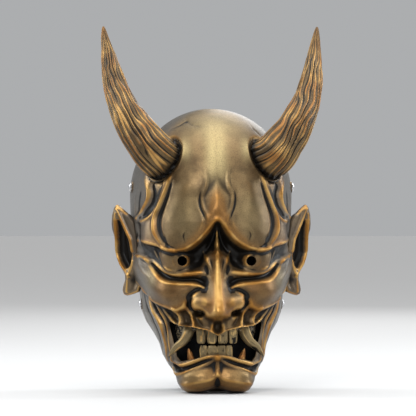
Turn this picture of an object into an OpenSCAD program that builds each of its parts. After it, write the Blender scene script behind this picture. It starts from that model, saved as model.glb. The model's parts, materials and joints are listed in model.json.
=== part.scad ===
// Horned demon mask: one cast shell with ears, two bolted-on horns, two set-in rows of teeth,
// foam face pads and two riveted head straps with sliders.
// Millimetres. +Z is up, the face looks along -Y, and the origin is on the back plane between the eyes.

/* [Casting] */
// Half width of the head at the temples
half_w = 78; // [70:1:86]
// Depth of the plain face in front of the back plane
depth = 106; // [96:1:114]
// Height of the crown above the eyes
crown_z = 142.5; // [134:0.5:150]
// Height of the chin below the eyes
chin_z = 124.5; // [118:0.5:130]
// Thickness of the casting
wall = 4.5; // [4:0.25:5.5]
// Radius of the hole in each pupil
pupil_r = 4.6; // [3.5:0.1:5]
// Half the distance between the pupils
pupil_x = 32.5; // [31:0.5:34]

/* [Horns] */
// Radius of a horn at its foot
horn_r = 21.5; // [18:0.5:23]
// Radius of the peg under a horn
peg_r = 8; // [7:0.5:9]
// Height of a horn's tip above the eyes
horn_tip_z = 224; // [200:1:240]

/* [Straps] */
// Width of the upper strap
upper_strap_w = 25; // [20:1:26]
// Width of the lower strap
lower_strap_w = 20; // [16:1:22]
// Length of a hanging leg of the upper strap
upper_leg = 92; // [80:1:94]
// Length of a hanging leg of the lower strap
lower_leg = 66; // [56:1:70]
// Thickness of the elastic webbing
strap_t = 2; // [1.5:0.25:2.5]
// Radius of a rivet's shank
shank_r = 2; // [1.5:0.25:2.5]
// Radius of a rivet's domed head
head_r = 4; // [3:0.1:4.5]
// Radial play of a strap's eye on its rivet
play = 0.08; // [0.02:0.01:0.1]

/* [Pads] */
// Thickness of the foam pads
pad_t = 7; // [5:1:9]

/* [Hidden] */

$fn = 48;
columns = 40;
body_rows = 42;
dome_rows = 14;
dome_z = 60;
dome_h = crown_z - dome_z;
k_w = half_w / 78;
k_d = depth / 106;

// Half width of the head below the dome, by height.
width_by_z = [[-125, 23], [-122, 29], [-116, 33], [-108, 36.5], [-100, 43], [-90, 48.5], [-80, 51],
    [-70, 56], [-60, 62.5], [-50, 66.5], [-35, 68.5], [-20, 70.5], [0, 74], [30, 77], [60, 78]];
// Depth of the plain face on the middle line, by height.
depth_by_z = [[-125, 103], [-120, 107], [-108, 109], [-90, 108], [-40, 107], [0, 106], [37, 106], [60, 104]];
// How far the back edge lies in front of the back plane, by height: it follows the jaw to the chin.
edge_by_z = [[-125, 78], [-110, 68], [-100, 58], [-90, 46], [-80, 32], [-70, 17], [-62, 6], [-54, 0], [60, 0]];
// Squareness of the level section, by height: 1 is an ellipse.
square_by_z = [[-125, 0.86], [-60, 0.86], [0, 0.93], [60, 1]];

function width_at(z) = k_w * lookup(z, width_by_z);
function depth_at(z) = k_d * lookup(z, depth_by_z);
function edge_at(z) = lookup(z, edge_by_z);

function bell(x, z, cx, cz, sx, sz) = exp(-pow((x - cx) / sx, 2) - pow((z - cz) / sz, 2));
function ramp(a, b, t) = let (u = max(0, min(1, (t - a) / (b - a)))) u * u * (3 - 2 * u);

// The bridge stands out further towards the tip and drops away under it.
function nose(x, z) = let (s = 5 + 7 * ramp(10, -44, z))
    (7 + 25 * ramp(26, -42, z)) * ramp(44, 24, z) * ramp(-57, -48, z) * exp(-pow(x / s, 2));
function brows(x, z) = 8 * bell(x, z, 32, 22, 26, 13) + 4 * bell(x, z, 0, 52, 22, 22);
function sockets(x, z) = -10 * bell(x, z, 36, -2, 25, 10) - 5 * bell(x, z, 12, 8, 8, 16);
function cheeks(x, z) = 9 * bell(x, z, 46, -26, 18, 15) - 4 * bell(x, z, 48, -56, 12, 14);
function nostril_wings(x, z) = 12 * bell(x, z, 16, -40, 8, 9);
function muzzle(x, z) = 7 * bell(x, z, 0, -70, 34, 20);
function chin(x, z) = 9 * bell(x, z, 15, -112, 18, 12) - 3 * bell(x, z, 0, -116, 4, 12);

// Height of the carving over the plain face. x is the distance from the middle line.
function carving(x, z) = nose(x, z) + brows(x, z) + sockets(x, z) + cheeks(x, z)
    + nostril_wings(x, z) + muzzle(x, z) + chin(x, z);

// A level section of the head: [height, half width, depth, back edge, squareness].
function body_row(z, s = 1) = [z, width_at(z) * s, depth_at(z) * (s < 1 ? 0.97 : 1), edge_at(z),
    lookup(z, square_by_z)];
function dome_row(t) = [dome_z + dome_h * sin(t), width_at(dome_z) * cos(t), depth_at(dome_z) * cos(t), 0, 1];
function row_at(z) = z > dome_z ? dome_row(asin((z - dome_z) / dome_h)) : body_row(z);

// Outside point of a section at angle a from straight ahead.
function plain_point(r, a) = [sign(a) * r[1] * pow(abs(sin(a)), r[4]), -r[3] - (r[2] - r[3]) * pow(cos(a), r[4]), r[0]];
// Outward direction there. Over the dome it tips up like the dome itself.
function outward(r, a) = let (q = 2 - r[4],
        v = [sign(a) * pow(abs(sin(a)), q) / width_at(min(r[0], dome_z)),
            -pow(cos(a), q) / depth_at(min(r[0], dome_z)),
            r[0] > dome_z ? (r[0] - dome_z) / dome_h / dome_h / (r[1] / width_at(dome_z)) : 0])
    v / norm(v);

// A point inset from the outside. Inside, the casting follows only part of the carving.
function head_point(r, a, inset) =
    let (p = plain_point(r, a), n = outward(r, a),
        c = r[0] > dome_z + 0.01 ? carving(abs(p[0]), r[0]) : carving(abs(p[0]), r[0]),
        lift = (inset > 0 && c > 0 ? 0.5 * c : c) * ramp(86, 60, abs(a)),
        m = abs(a) > 89.9 ? [n[0], 0, n[2]] / norm([n[0], 0, n[2]]) : n)
    p + m * (lift - inset);

function angles() = [for (i = [0:columns]) -89.999 + 179.998 * i / columns];
function sections() = concat([for (j = [0:body_rows - 1]) body_row(-chin_z + (dome_z + chin_z) * j / body_rows)],
    [for (j = [0:dome_rows]) dome_row(85 * j / dome_rows)]);

// The open casting: outside, inside and the edges that join them.
module casting() {
    n = columns + 1;
    table = sections();
    last = len(table) - 1;
    m = n * (last + 1);
    inside = [for (j = [0:last]) j == 0 ? body_row(-chin_z + wall) : table[j]];
    points = concat(
        [for (r = table) for (a = angles()) flat_edge(head_point(r, a, 0), a)],
        [for (j = [0:last]) for (a = angles()) flat_edge(lowered(head_point(inside[j], a, wall), j, inside), a)]);
    skin = [for (j = [0:last - 1]) for (i = [0:columns - 1])
        for (f = [[j * n + i, (j + 1) * n + i + 1, j * n + i + 1], [j * n + i, (j + 1) * n + i, (j + 1) * n + i + 1]]) f];
    lining = [for (f = skin) [f[2] + m, f[1] + m, f[0] + m]];
    sides = [for (j = [0:last - 1])
        for (f = [[j * n, j * n + m, (j + 1) * n + m], [j * n, (j + 1) * n + m, (j + 1) * n],
            [j * n + columns, (j + 1) * n + columns + m, j * n + columns + m],
            [j * n + columns, (j + 1) * n + columns, (j + 1) * n + columns + m]]) f];
    floor_out = [for (i = [1:columns - 1]) [0, i, i + 1]];
    floor_in = [for (i = [1:columns - 1]) [m, m + i + 1, m + i]];
    floor_edge = [[0, columns, m + columns], [0, m + columns, m]];
    t = last * n;
    top_out = [for (i = [1:columns - 1]) [t, t + i + 1, t + i]];
    top_in = [for (i = [1:columns - 1]) [t + m, t + m + i, t + m + i + 1]];
    top_edge = [[t, t + m + columns, t + columns], [t, t + m, t + m + columns]];
    polyhedron(points, concat(skin, lining, sides, floor_out, floor_in, floor_edge, top_out, top_in, top_edge));
}
// Points of the back edge sit exactly on their plane.
function flat_edge(p, a) = abs(a) > 89.9 && p[2] > -54 ? [p[0], 0, p[2]] : p;
// The second and third inside rows stay above the floor of the chin.
function lowered(p, j, rows) = j == 1 || j == 2 ? [p[0], p[1], max(p[2], -chin_z + wall + 0.6 * j)] : p;

// ---- openings in the casting ----
module from_front() { rotate([90, 0, 0]) linear_extrude(170) children(); }
module mirrored() { children(); mirror([1, 0]) children(); }

module mouth_outline() mirrored() polygon([[-0.1, -69.5], [4, -67.5], [9, -64.8], [22, -62.2], [34, -60.8], [41, -58.8], [44, -58.8],
    [42.5, -66], [40.5, -74], [39, -83], [38, -91], [34, -95.5], [21, -92.5], [10, -88.5], [-0.1, -86.8]]);
module pupil_outline() mirrored() translate([pupil_x, 0]) circle(pupil_r, $fn = 20);
module nostril_outline() mirrored() translate([15, -44]) rotate(20) scale([3.4, 2.4]) circle(1, $fn = 14);

// ---- horns: the seat lies just under the surface, square to it ----
horn_z = 95;
horn_row = row_at(horn_z);
horn_a = 44;
horn_out = outward(horn_row, horn_a);
horn_seat = plain_point(horn_row, horn_a) - 2 * horn_out;
horn_yaw = atan2(horn_out[1], horn_out[0]);
horn_tilt = acos(horn_out[2]);
seat_floor = 6;
collar_r = horn_r + 1.8;
washer_t = 1.2;

// Moves a thing standing on the level plane onto a horn's seat. side is 1 for the right horn.
module on_seat(side) scale_side(side) translate(horn_seat) rotate([0, horn_tilt, horn_yaw]) children();
module scale_side(side) if (side > 0) children(); else mirror([1, 0, 0]) children();
module horn_from(side) rotate([0, 0, -horn_yaw]) rotate([0, -horn_tilt, 0]) children();

// Middle line of a horn as [x, y, z, radius].
function horn_line() = let (k = (horn_tip_z - horn_z) / 129, f = horn_seat, o = horn_out) [
    [f[0], f[1], f[2], horn_r], [f[0] + 3 * o[0], f[1] + 3 * o[1], f[2] + 3 * o[2], horn_r],
    [58, -75, 95 + 7 * k, 20.6], [66, -74, 95 + 17 * k, 19], [74, -69, 95 + 28 * k, 17.6],
    [81, -62, 95 + 40 * k, 15.8], [87, -53, 95 + 52 * k, 13.8], [92, -42, 95 + 66 * k, 12],
    [95.5, -31, 95 + 80 * k, 10.3], [98, -20, 95 + 93 * k, 8.2], [100, -10, 95 + 105 * k, 6.1],
    [102, -2, 95 + 117 * k, 4], [103.2, 3, 95 + 126 * k, 2], [103.5, 4.5, 95 + 129 * k, 0.8]];

function unit(v) = v / norm(v);
function horn_dir(l, i) = i == 0 ? horn_out : let (a = l[i - 1], b = l[min(len(l) - 1, i + 1)])
    unit([b[0] - a[0], b[1] - a[1], b[2] - a[2]]);

module horn_body() {
    l = horn_line();
    n = 28;
    rings = [for (i = [0:len(l) - 1]) let (d = i < 2 ? horn_out : horn_dir(l, i),
        u = unit(cross(d, [0.3, 1, 0])), v = cross(d, u))
        [for (j = [0:n - 1]) let (t = 360 * j / n, r = l[i][3] * (i < 2 ? 1 : 1 + 0.03 * cos(5 * t)))
            [l[i][0], l[i][1], l[i][2]] + r * (u * cos(t) + v * sin(t))]];
    last = len(l) - 1;
    polyhedron([for (r = rings) for (p = r) p], concat(
        [for (i = [0:last - 1]) for (j = [0:n - 1]) let (k = (j + 1) % n)
            for (f = [[i * n + j, (i + 1) * n + k, i * n + k], [i * n + j, (i + 1) * n + j, (i + 1) * n + k]]) f],
        [for (j = [1:n - 2]) [0, j, j + 1]],
        [for (j = [1:n - 2]) [last * n, last * n + j + 1, last * n + j]]));
}

module horn(side) scale_side(side) {
    difference() {
        union() {
            horn_body();
            translate(horn_seat) rotate([0, horn_tilt, horn_yaw]) translate([0, 0, -seat_floor + 0.4])
                cylinder(r = peg_r, h = seat_floor + 1);
        }
        translate(horn_seat) rotate([0, horn_tilt, horn_yaw]) translate([0, 0, -seat_floor])
            cylinder(r = 2.55, h = seat_floor + 14);
    }
}

module horn_washer(side) on_seat(side) translate([0, 0, -seat_floor - washer_t - 0.05]) difference() {
    cylinder(r = 13, h = washer_t);
    translate([0, 0, -1]) cylinder(r = 2.7, h = washer_t + 2);
}
module horn_screw(side) on_seat(side) difference() {
    union() {
        translate([0, 0, -seat_floor - washer_t - 0.1]) cylinder(r = 2.5, h = seat_floor + 12);
        translate([0, 0, -seat_floor - washer_t - 3.1]) cylinder(r = 4.6, h = 3);
    }
    translate([0, 0, -seat_floor - washer_t - 4]) cylinder(r = 2.3, h = 2.6, $fn = 6);
}

// ---- ears: flat leaves sheared back from the side of the head ----
ear_root = 71;
ear_y = -30;
module ear_outline() polygon([[70.5, 22], [75, 35], [80, 43], [85, 49.5], [90.3, 52.5], [93.5, 45], [95, 36],
    [94.5, 22], [92, 8], [88.5, -6], [87.5, -18], [87.5, -28], [85.5, -33.5], [82, -34.5], [78.5, -30],
    [75.5, -20], [71, -8], [68, -6], [69, 10]]);
module ear() multmatrix([[1, 0, 0, 0], [0.9, 1, 0, ear_y - 0.9 * ear_root], [0, 0, 1, 0]]) difference() {
    rotate([90, 0, 0]) translate([0, 0, -6]) linear_extrude(6) ear_outline();
    rotate([90, 0, 0]) translate([0, 0, -2.5]) linear_extrude(6) translate([77.5, -2]) polygon([[2, 8],
        [2, 30], [6, 40], [11, 46], [12, 36], [11, 22], [7, 8]]);
}

// ---- strap rivets lie along X through the sides of the head ----
temple_y = -16;
temple_z = 69;
jaw_y = -16;
jaw_z = -43;
function side_x(y, z) = let (r = row_at(z), q = 2 / r[4])
    r[1] * pow(1 - pow(-y / r[2], q), 1 / q);
temple_x = side_x(temple_y, temple_z);
jaw_x = side_x(jaw_y, jaw_z);
temple_in = temple_x - 7.6;
jaw_in = jaw_x - 7.2;
eye_gap = 0.3;
burr_t = 1;

module along_x(x, y, z) translate([x, y, z]) rotate([0, 90, 0]) children();
module rivet_boss(x_in, x_out, y, z) {
    along_x(x_in, y, z) cylinder(r = 5.4, h = 5, $fn = 24);
    along_x(x_out - 2.5, y, z) cylinder(r = 5.4, h = 3.3, $fn = 24);
}

module shell_solid() {
    casting();
    for (side = [-1, 1]) scale_side(side) {
        ear();
        rivet_boss(temple_in, temple_x, temple_y, temple_z);
        rivet_boss(jaw_in, jaw_x, jaw_y, jaw_z);
        translate(horn_seat) rotate([0, horn_tilt, horn_yaw]) {
            translate([0, 0, -5]) cylinder(r = collar_r, h = 6.8, $fn = 40);
            translate([0, 0, -seat_floor]) cylinder(r = 14.5, h = 3, $fn = 32);
        }
    }
}

module face_shell() resize([0, 0, 0]) difference() {
    shell_solid();
    from_front() mouth_outline();
    from_front() pupil_outline();
    translate([0, -60, 0]) from_front() nostril_outline();
    for (side = [-1, 1]) scale_side(side) {
        translate(horn_seat) rotate([0, horn_tilt, horn_yaw]) {
            cylinder(r = horn_r + 0.3, h = 20, $fn = 40);
            translate([0, 0, -10]) cylinder(r = peg_r + 0.2, h = 20, $fn = 32);
        }
        along_x(temple_x - 20, temple_y, temple_z) cylinder(r = shank_r + 0.3, h = 40, $fn = 20);
        along_x(jaw_x - 20, jaw_y, jaw_z) cylinder(r = shank_r + 0.3, h = 40, $fn = 20);
    }
}

// Domed head outside, shank through casting, strap and burr, closed over inside.
module rivet(x_in, x_out, y, z) {
    seat = x_out + 0.85;
    tail = x_in - strap_t - 2 * eye_gap - burr_t - 0.05;
    along_x(0, y, z) rotate_extrude() polygon([[0, tail - 1.2], [2.4, tail - 1.2], [3, tail - 0.7], [3, tail],
        [shank_r, tail], [shank_r, seat], [head_r, seat], [head_r, seat + 0.6], [head_r * 0.92, seat + 1.2],
        [head_r * 0.75, seat + 1.8], [head_r * 0.5, seat + 2.2], [head_r * 0.25, seat + 2.4], [0, seat + 2.45]]);
}
module burr(x_in, y, z) along_x(x_in - strap_t - 2 * eye_gap - burr_t, y, z) difference() {
    cylinder(r = 4.6, h = burr_t);
    translate([0, 0, -1]) cylinder(r = shank_r + 0.05, h = burr_t + 2);
}

// ---- straps: a flat line in X and Z, as wide as the webbing in Y ----
function offset_line(l, t) = concat(
    [for (i = [0:len(l) - 1]) l[i] + t * line_normal(l, i)],
    [for (i = [len(l) - 1:-1:0]) l[i]]);
function line_normal(l, i) = let (a = l[max(0, i - 1)], b = l[min(len(l) - 1, i + 1)], d = unit(b - a))
    [-d[1], d[0]];
// Half of a strap's outer line: down from the eye, leaning in, then round a bend to the middle.
function strap_half(x, bottom, mid, eye, bend) = concat([[x, 0], [x, -eye], [x - 1.5, -eye - 5]],
    [for (t = [10:16:90]) [mid - bend + bend * cos(t), bottom + bend - bend * sin(t)]]);
module strap_shape(x, leg, mid, w, eye) {
    half = strap_half(x, -leg, mid, eye, 9);
    full = concat(half, [for (i = [len(half) - 1:-1:0]) [-half[i][0], half[i][1]]]);
    difference() {
        union() {
            rotate([90, 0, 0]) translate([0, 0, -w / 2]) linear_extrude(w) polygon(offset_line(full, -strap_t));
            for (side = [-1, 1]) translate([side > 0 ? x - strap_t : -x, 0, 0]) rotate([0, 90, 0])
                cylinder(r = w / 2, h = strap_t);
        }
        translate([-x - 5, 0, 0]) rotate([0, 90, 0]) cylinder(r = shank_r + play, h = 2 * x + 10);
    }
}
module upper_strap() translate([0, temple_y, temple_z])
    strap_shape(temple_in - eye_gap, upper_leg, 52, upper_strap_w, 14);
module lower_strap() translate([0, jaw_y, jaw_z])
    strap_shape(jaw_in - eye_gap, lower_leg, 33, lower_strap_w, 6);

// A slider lies round the middle of a strap: two bars under the webbing, one over it, two rails.
module slider(y, z, w) translate([0, y, z]) {
    g = 0.3;
    for (s = [-1, 1]) {
        translate([-9, s > 0 ? w / 2 + g : -w / 2 - g - 2.2, -g - 1.8]) cube([18, 2.2, strap_t + 2 * g + 3.6]);
        translate([s * 7.5 - 1.5, -w / 2 - g - 1, -g - 1.8]) cube([3, w + 2 * g + 2, 1.8]);
    }
    translate([-2, -w / 2 - g - 1, strap_t + g]) cube([4, w + 2 * g + 2, 1.8]);
}

// ---- patches that lie behind the casting: foam pads and tooth bars ----
// From angle a0 to a1 and height z0 to z1, between two insets, with rounded corners.
module patch(a0, a1, z0, z1, inset0, inset1, m, n, corner) {
    am = (a0 + a1) / 2;
    da = (a1 - a0) / 2;
    points = [for (s = [inset0, inset1]) for (j = [0:n]) for (i = [0:m])
        let (v = -1 + 2 * j / n, u = -1 + 2 * i / m, k = 1 - corner * pow(abs(v), 5), kz = 1 - corner * pow(abs(u), 5))
        head_point(row_at((z0 + z1) / 2 + v * kz * (z1 - z0) / 2), am + u * k * da, s)];
    skin(points, m, n);
}
// A closed thin block between an outer and an inner grid of points.
module skin(points, m, n) {
    q = (m + 1) * (n + 1);
    function id(i, j) = j * (m + 1) + i;
    front = [for (j = [0:n - 1]) for (i = [0:m - 1])
        for (f = [[id(i, j), id(i + 1, j + 1), id(i + 1, j)], [id(i, j), id(i, j + 1), id(i + 1, j + 1)]]) f];
    rim = concat([for (i = [0:m - 1]) [id(i, 0), id(i + 1, 0)]], [for (j = [0:n - 1]) [id(m, j), id(m, j + 1)]],
        [for (i = [m:-1:1]) [id(i, n), id(i - 1, n)]], [for (j = [n:-1:1]) [id(0, j), id(0, j - 1)]]);
    polyhedron(points, concat(front, [for (f = front) [f[2] + q, f[1] + q, f[0] + q]],
        [for (e = rim) for (f = [[e[0], e[1], e[1] + q], [e[0], e[1] + q, e[0] + q]]) f]));
}
pad_gap = wall + 0.7;
module forehead_pad() patch(-34, 34, 36, 59, pad_gap, pad_gap + pad_t, 20, 8, 0.12);
module cheek_pad(side) scale_side(side) patch(32, 58, -36, -10, pad_gap, pad_gap + pad_t, 12, 12, 0.14);
module chin_pad() patch(-24, 24, -116, -100, pad_gap, pad_gap + pad_t - 1, 14, 6, 0.12);

// ---- teeth: a bar behind the lip with four incisors and two fangs ----
tooth_in = wall + 0.8;
function mouth_point(x, z, inset) = let (r = row_at(z), s = pow(abs(x) / r[1], 1 / r[4]), a = asin(s))
    head_point(r, sign(x) * a, inset);
// An incisor stands clear of the lip at height z_lip.
module incisor(x, z0, z1, w, z_lip) {
    p = mouth_point(x - 1, z_lip, tooth_in + 2.3);
    q = mouth_point(x + 1, z_lip, tooth_in + 2.3);
    translate([(p[0] + q[0]) / 2, (p[1] + q[1]) / 2, z0]) rotate([0, 0, atan2(q[1] - p[1], q[0] - p[0])])
        linear_extrude(z1 - z0) offset(1.2, $fn = 12) square([w - 2.4, 2], center = true);
}
// A fang runs through points given as [x, z, inset, radius].
module fang(stops) for (i = [0:len(stops) - 2]) hull() for (p = [stops[i], stops[i + 1]])
    translate(mouth_point(p[0], p[1], p[2])) sphere(p[3], $fn = 16);
module upper_teeth() resize([0, 0, 0]) {
    patch(-36, 36, -67, -57.5, tooth_in, tooth_in + 4, 30, 6, 0);
    // The gum that fills each corner of the mouth.
    for (s = [-1, 1]) scale_side(s) patch(34, 46.5, -75.5, -58, tooth_in + 0.4, tooth_in + 3.6, 8, 9, 0.1);
    for (x = [-16.6, -5.6, 5.6, 16.6]) incisor(x, -77.9, -62.8, 10.4, -69);
    for (s = [-1, 1]) scale_side(s)
        fang([[27.5, -63.5, tooth_in + 4.4, 4.2], [30.5, -70.5, 4, 3.6], [33.5, -79, -1.5, 2.7], [38.3, -90, -5, 0.8]]);
}
module lower_teeth() resize([0, 0, 0]) {
    patch(-36, 36, -98.5, -92, tooth_in, tooth_in + 4, 30, 5, 0);
    for (x = [-15.2, -5.1, 5.1, 15.2]) incisor(x, -96, -78.8, 9.4, -96);
    for (s = [-1, 1]) scale_side(s)
        fang([[29.5, -95, tooth_in + 3.8, 3.2], [30, -88, tooth_in + 2, 2.4], [30.5, -82, tooth_in + 0.5, 0.8]]);
}

// ---- black mesh screens behind the pupils and the teeth ----
module eye_screen(side) scale_side(side) patch(21, 39.5, -9.5, 9.5, wall + 0.7, wall + 1.5, 7, 7, 0.2);
screen_half = [[-99, 31.5], [-90, 36], [-80, 39.5], [-70, 41], [-57, 42.5]];
module mouth_screen() skin([for (t = [0, 0.7]) for (j = [0:8]) for (i = [0:18])
    let (z = -98.5 + j * 5.1, x = (-1 + i / 9) * lookup(z, screen_half)) [x, -89.5 + t + 23.5 * pow(x / 45, 2), z]], 18, 8);

module show(name, tint) color(tint) children();

show("face_shell", "darkgoldenrod") face_shell();
show("left_horn", "goldenrod") horn(-1);
show("right_horn", "goldenrod") horn(1);
show("left_horn_washer", "silver") horn_washer(-1);
show("right_horn_washer", "silver") horn_washer(1);
show("left_horn_screw", "silver") horn_screw(-1);
show("right_horn_screw", "silver") horn_screw(1);
show("upper_teeth", "khaki") upper_teeth();
show("lower_teeth", "khaki") lower_teeth();
show("left_temple_rivet", "silver") scale_side(-1) rivet(temple_in, temple_x, temple_y, temple_z);
show("right_temple_rivet", "silver") rivet(temple_in, temple_x, temple_y, temple_z);
show("left_jaw_rivet", "silver") scale_side(-1) rivet(jaw_in, jaw_x, jaw_y, jaw_z);
show("right_jaw_rivet", "silver") rivet(jaw_in, jaw_x, jaw_y, jaw_z);
show("left_temple_burr", "gray") scale_side(-1) burr(temple_in, temple_y, temple_z);
show("right_temple_burr", "gray") burr(temple_in, temple_y, temple_z);
show("left_jaw_burr", "gray") scale_side(-1) burr(jaw_in, jaw_y, jaw_z);
show("right_jaw_burr", "gray") burr(jaw_in, jaw_y, jaw_z);
show("upper_strap", "dimgray") upper_strap();
show("upper_strap_slider", "black") slider(temple_y, temple_z - upper_leg, upper_strap_w);
show("lower_strap", "dimgray") lower_strap();
show("lower_strap_slider", "black") slider(jaw_y, jaw_z - lower_leg, lower_strap_w);
show("forehead_pad", "darkslategray") forehead_pad();
show("left_cheek_pad", "darkslategray") cheek_pad(-1);
show("right_cheek_pad", "darkslategray") cheek_pad(1);
show("chin_pad", "darkslategray") chin_pad();
show("left_eye_screen", "black") eye_screen(-1);
show("right_eye_screen", "black") eye_screen(1);
show("mouth_screen", "black") mouth_screen();
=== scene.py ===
"""Looks for the horned demon mask: the carved and painted casting, bark horns, teeth, pads and straps."""

import bpy
import bmesh
import json
import numpy as np
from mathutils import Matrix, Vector

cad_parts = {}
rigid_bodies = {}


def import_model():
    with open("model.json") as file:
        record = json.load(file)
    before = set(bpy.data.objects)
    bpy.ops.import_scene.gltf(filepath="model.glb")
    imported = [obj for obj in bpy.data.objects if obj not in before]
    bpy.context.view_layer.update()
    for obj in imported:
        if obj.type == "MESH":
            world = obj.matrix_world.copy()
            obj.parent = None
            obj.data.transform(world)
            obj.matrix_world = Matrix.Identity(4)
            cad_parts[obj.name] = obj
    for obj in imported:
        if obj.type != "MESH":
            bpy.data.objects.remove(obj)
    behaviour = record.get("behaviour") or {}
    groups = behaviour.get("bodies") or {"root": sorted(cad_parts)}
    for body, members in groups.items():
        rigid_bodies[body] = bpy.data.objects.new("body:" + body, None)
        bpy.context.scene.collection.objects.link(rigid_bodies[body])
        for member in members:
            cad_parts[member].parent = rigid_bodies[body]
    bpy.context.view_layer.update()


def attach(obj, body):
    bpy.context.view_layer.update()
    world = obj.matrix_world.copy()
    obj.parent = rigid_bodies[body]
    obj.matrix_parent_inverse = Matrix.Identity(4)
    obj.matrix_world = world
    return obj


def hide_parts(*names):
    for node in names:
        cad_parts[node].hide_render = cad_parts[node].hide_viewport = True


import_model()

# ---- plain shape of the head, in millimetres, the same as the CAD part's ----
MM = 0.001
CHIN, DOME_Z, CROWN, WALL = -124.5, 60.0, 142.5, 4.5
DOME_H = CROWN - DOME_Z
PUPIL_X = 32.5
WIDTHS = ((-125, 23), (-122, 29), (-116, 33), (-108, 36.5), (-100, 43), (-90, 48.5), (-80, 51), (-70, 56),
          (-60, 62.5), (-50, 66.5), (-35, 68.5), (-20, 70.5), (0, 74), (30, 77), (60, 78))
DEPTHS = ((-125, 103), (-120, 107), (-108, 109), (-90, 108), (-40, 107), (0, 106), (37, 106), (60, 104))
EDGES = ((-125, 78), (-110, 68), (-100, 58), (-90, 46), (-80, 32), (-70, 17), (-62, 6), (-54, 0), (60, 0))
SQUARES = ((-125, 0.86), (-60, 0.86), (0, 0.93), (60, 1))


def lookup(table, z):
    return np.interp(z, [t[0] for t in table], [t[1] for t in table])


def ramp(a, b, t):
    u = np.clip((np.asarray(t, float) - a) / (b - a), 0, 1)
    return u * u * (3 - 2 * u)


def smooth_max(a, b, k):
    """The greater of two heights, with the corner between them rounded over about k."""
    t = np.clip(0.5 + 0.5 * (a - b) / k, 0, 1)
    return b + (a - b) * t + k * t * (1 - t) * ramp(0, 5, np.minimum(a, b))


def bell(x, z, cx, cz, sx, sz):
    return np.exp(-((x - cx) / sx) ** 2 - ((z - cz) / sz) ** 2)


def section(z):
    """Half width, depth, back edge and squareness of the level section at each height."""
    t = np.arcsin(np.clip((z - DOME_Z) / DOME_H, 0, 1))
    zb = np.minimum(z, DOME_Z)
    k = np.cos(t)
    return lookup(WIDTHS, zb) * k, lookup(DEPTHS, zb) * k, lookup(EDGES, zb), lookup(SQUARES, zb), k


def plain(a, z):
    """Point and outward direction at angle a (radians from straight ahead) and height z."""
    w, d, e, p, k = section(z)
    s, c = np.abs(np.sin(a)), np.abs(np.cos(a))
    pos = np.stack([np.sign(a) * w * s ** p, -e - (d - e) * c ** p, z + 0 * a], -1)
    up = np.where(z > DOME_Z, (z - DOME_Z) / DOME_H ** 2 / np.maximum(k, 0.02), 0)
    n = np.stack([np.sign(a) * s ** (2 - p) / lookup(WIDTHS, np.minimum(z, DOME_Z)),
                  -c ** (2 - p) / lookup(DEPTHS, np.minimum(z, DOME_Z)), up + 0 * a], -1)
    return pos, n / np.linalg.norm(n, axis=-1, keepdims=True)


def rough_carving(x, z):
    """The broad shapes that the CAD casting has too."""
    s = 5 + 7 * ramp(10, -44, z)
    nose = (7 + 25 * ramp(26, -42, z)) * ramp(44, 24, z) * ramp(-57, -48, z) * np.exp(-(x / s) ** 2)
    return (nose + 8 * bell(x, z, 32, 22, 26, 13) + 4 * bell(x, z, 0, 52, 22, 22)
            - 10 * bell(x, z, 36, -2, 25, 10) - 5 * bell(x, z, 12, 8, 8, 16)
            + 9 * bell(x, z, 46, -26, 18, 15) - 4 * bell(x, z, 48, -56, 12, 14)
            + 12 * bell(x, z, 16, -40, 8, 9) + 7 * bell(x, z, 0, -70, 34, 20)
            + 9 * bell(x, z, 15, -112, 18, 12) - 3 * bell(x, z, 0, -116, 4, 12))


def lining_relief(x, z):
    """How far the lining follows the broad shapes: all of a hollow, half of a rise."""
    rough = rough_carving(np.abs(x), z)
    return np.where(rough > 0, 0.5 * rough, rough)


# ---- lines and outlines ----
def spline(points, per, closed=False):
    """A smooth line through points of any size, with so many steps from each to the next."""
    p = np.asarray(points, float)
    n = len(p)
    t = np.linspace(0, 1, per, endpoint=False)[:, None]
    parts = []
    for i in range(n if closed else n - 1):
        a, b, c, d = (p[k % n] if closed else p[min(max(k, 0), n - 1)] for k in range(i - 1, i + 3))
        parts.append(0.5 * (2 * b + (c - a) * t + (2 * a - 5 * b + 4 * c - d) * t ** 2
                            + (3 * b - a - 3 * c + d) * t ** 3))
    return np.concatenate(parts + [[p[0 if closed else -1]]])


def away(p, line):
    """Distance from each 2-D point to an open line of points, and the place along it from 0 to 1."""
    line = np.asarray(line, float)
    best, place, n = np.full(p.shape[:-1], 1e9), np.zeros(p.shape[:-1]), len(line) - 1
    for i in range(n):
        a, d = line[i], line[i + 1] - line[i]
        t = np.clip(((p - a) @ d) / max(d @ d, 1e-9), 0, 1)
        r = np.linalg.norm(p - a - t[..., None] * d, axis=-1)
        place = np.where(r < best, (i + t) / n, place)
        best = np.minimum(best, r)
    return best, place


def within(p, outline):
    """True for the 2-D points inside a closed outline."""
    x, z = p[..., 0], p[..., 1]
    odd = np.zeros(x.shape, bool)
    for a, b in zip(outline, [*outline[1:], outline[0]]):
        slant = (b[0] - a[0]) / ((b[1] - a[1]) or 1e-9)
        odd ^= ((a[1] > z) != (b[1] > z)) & (x < a[0] + (z - a[1]) * slant)
    return odd


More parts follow.
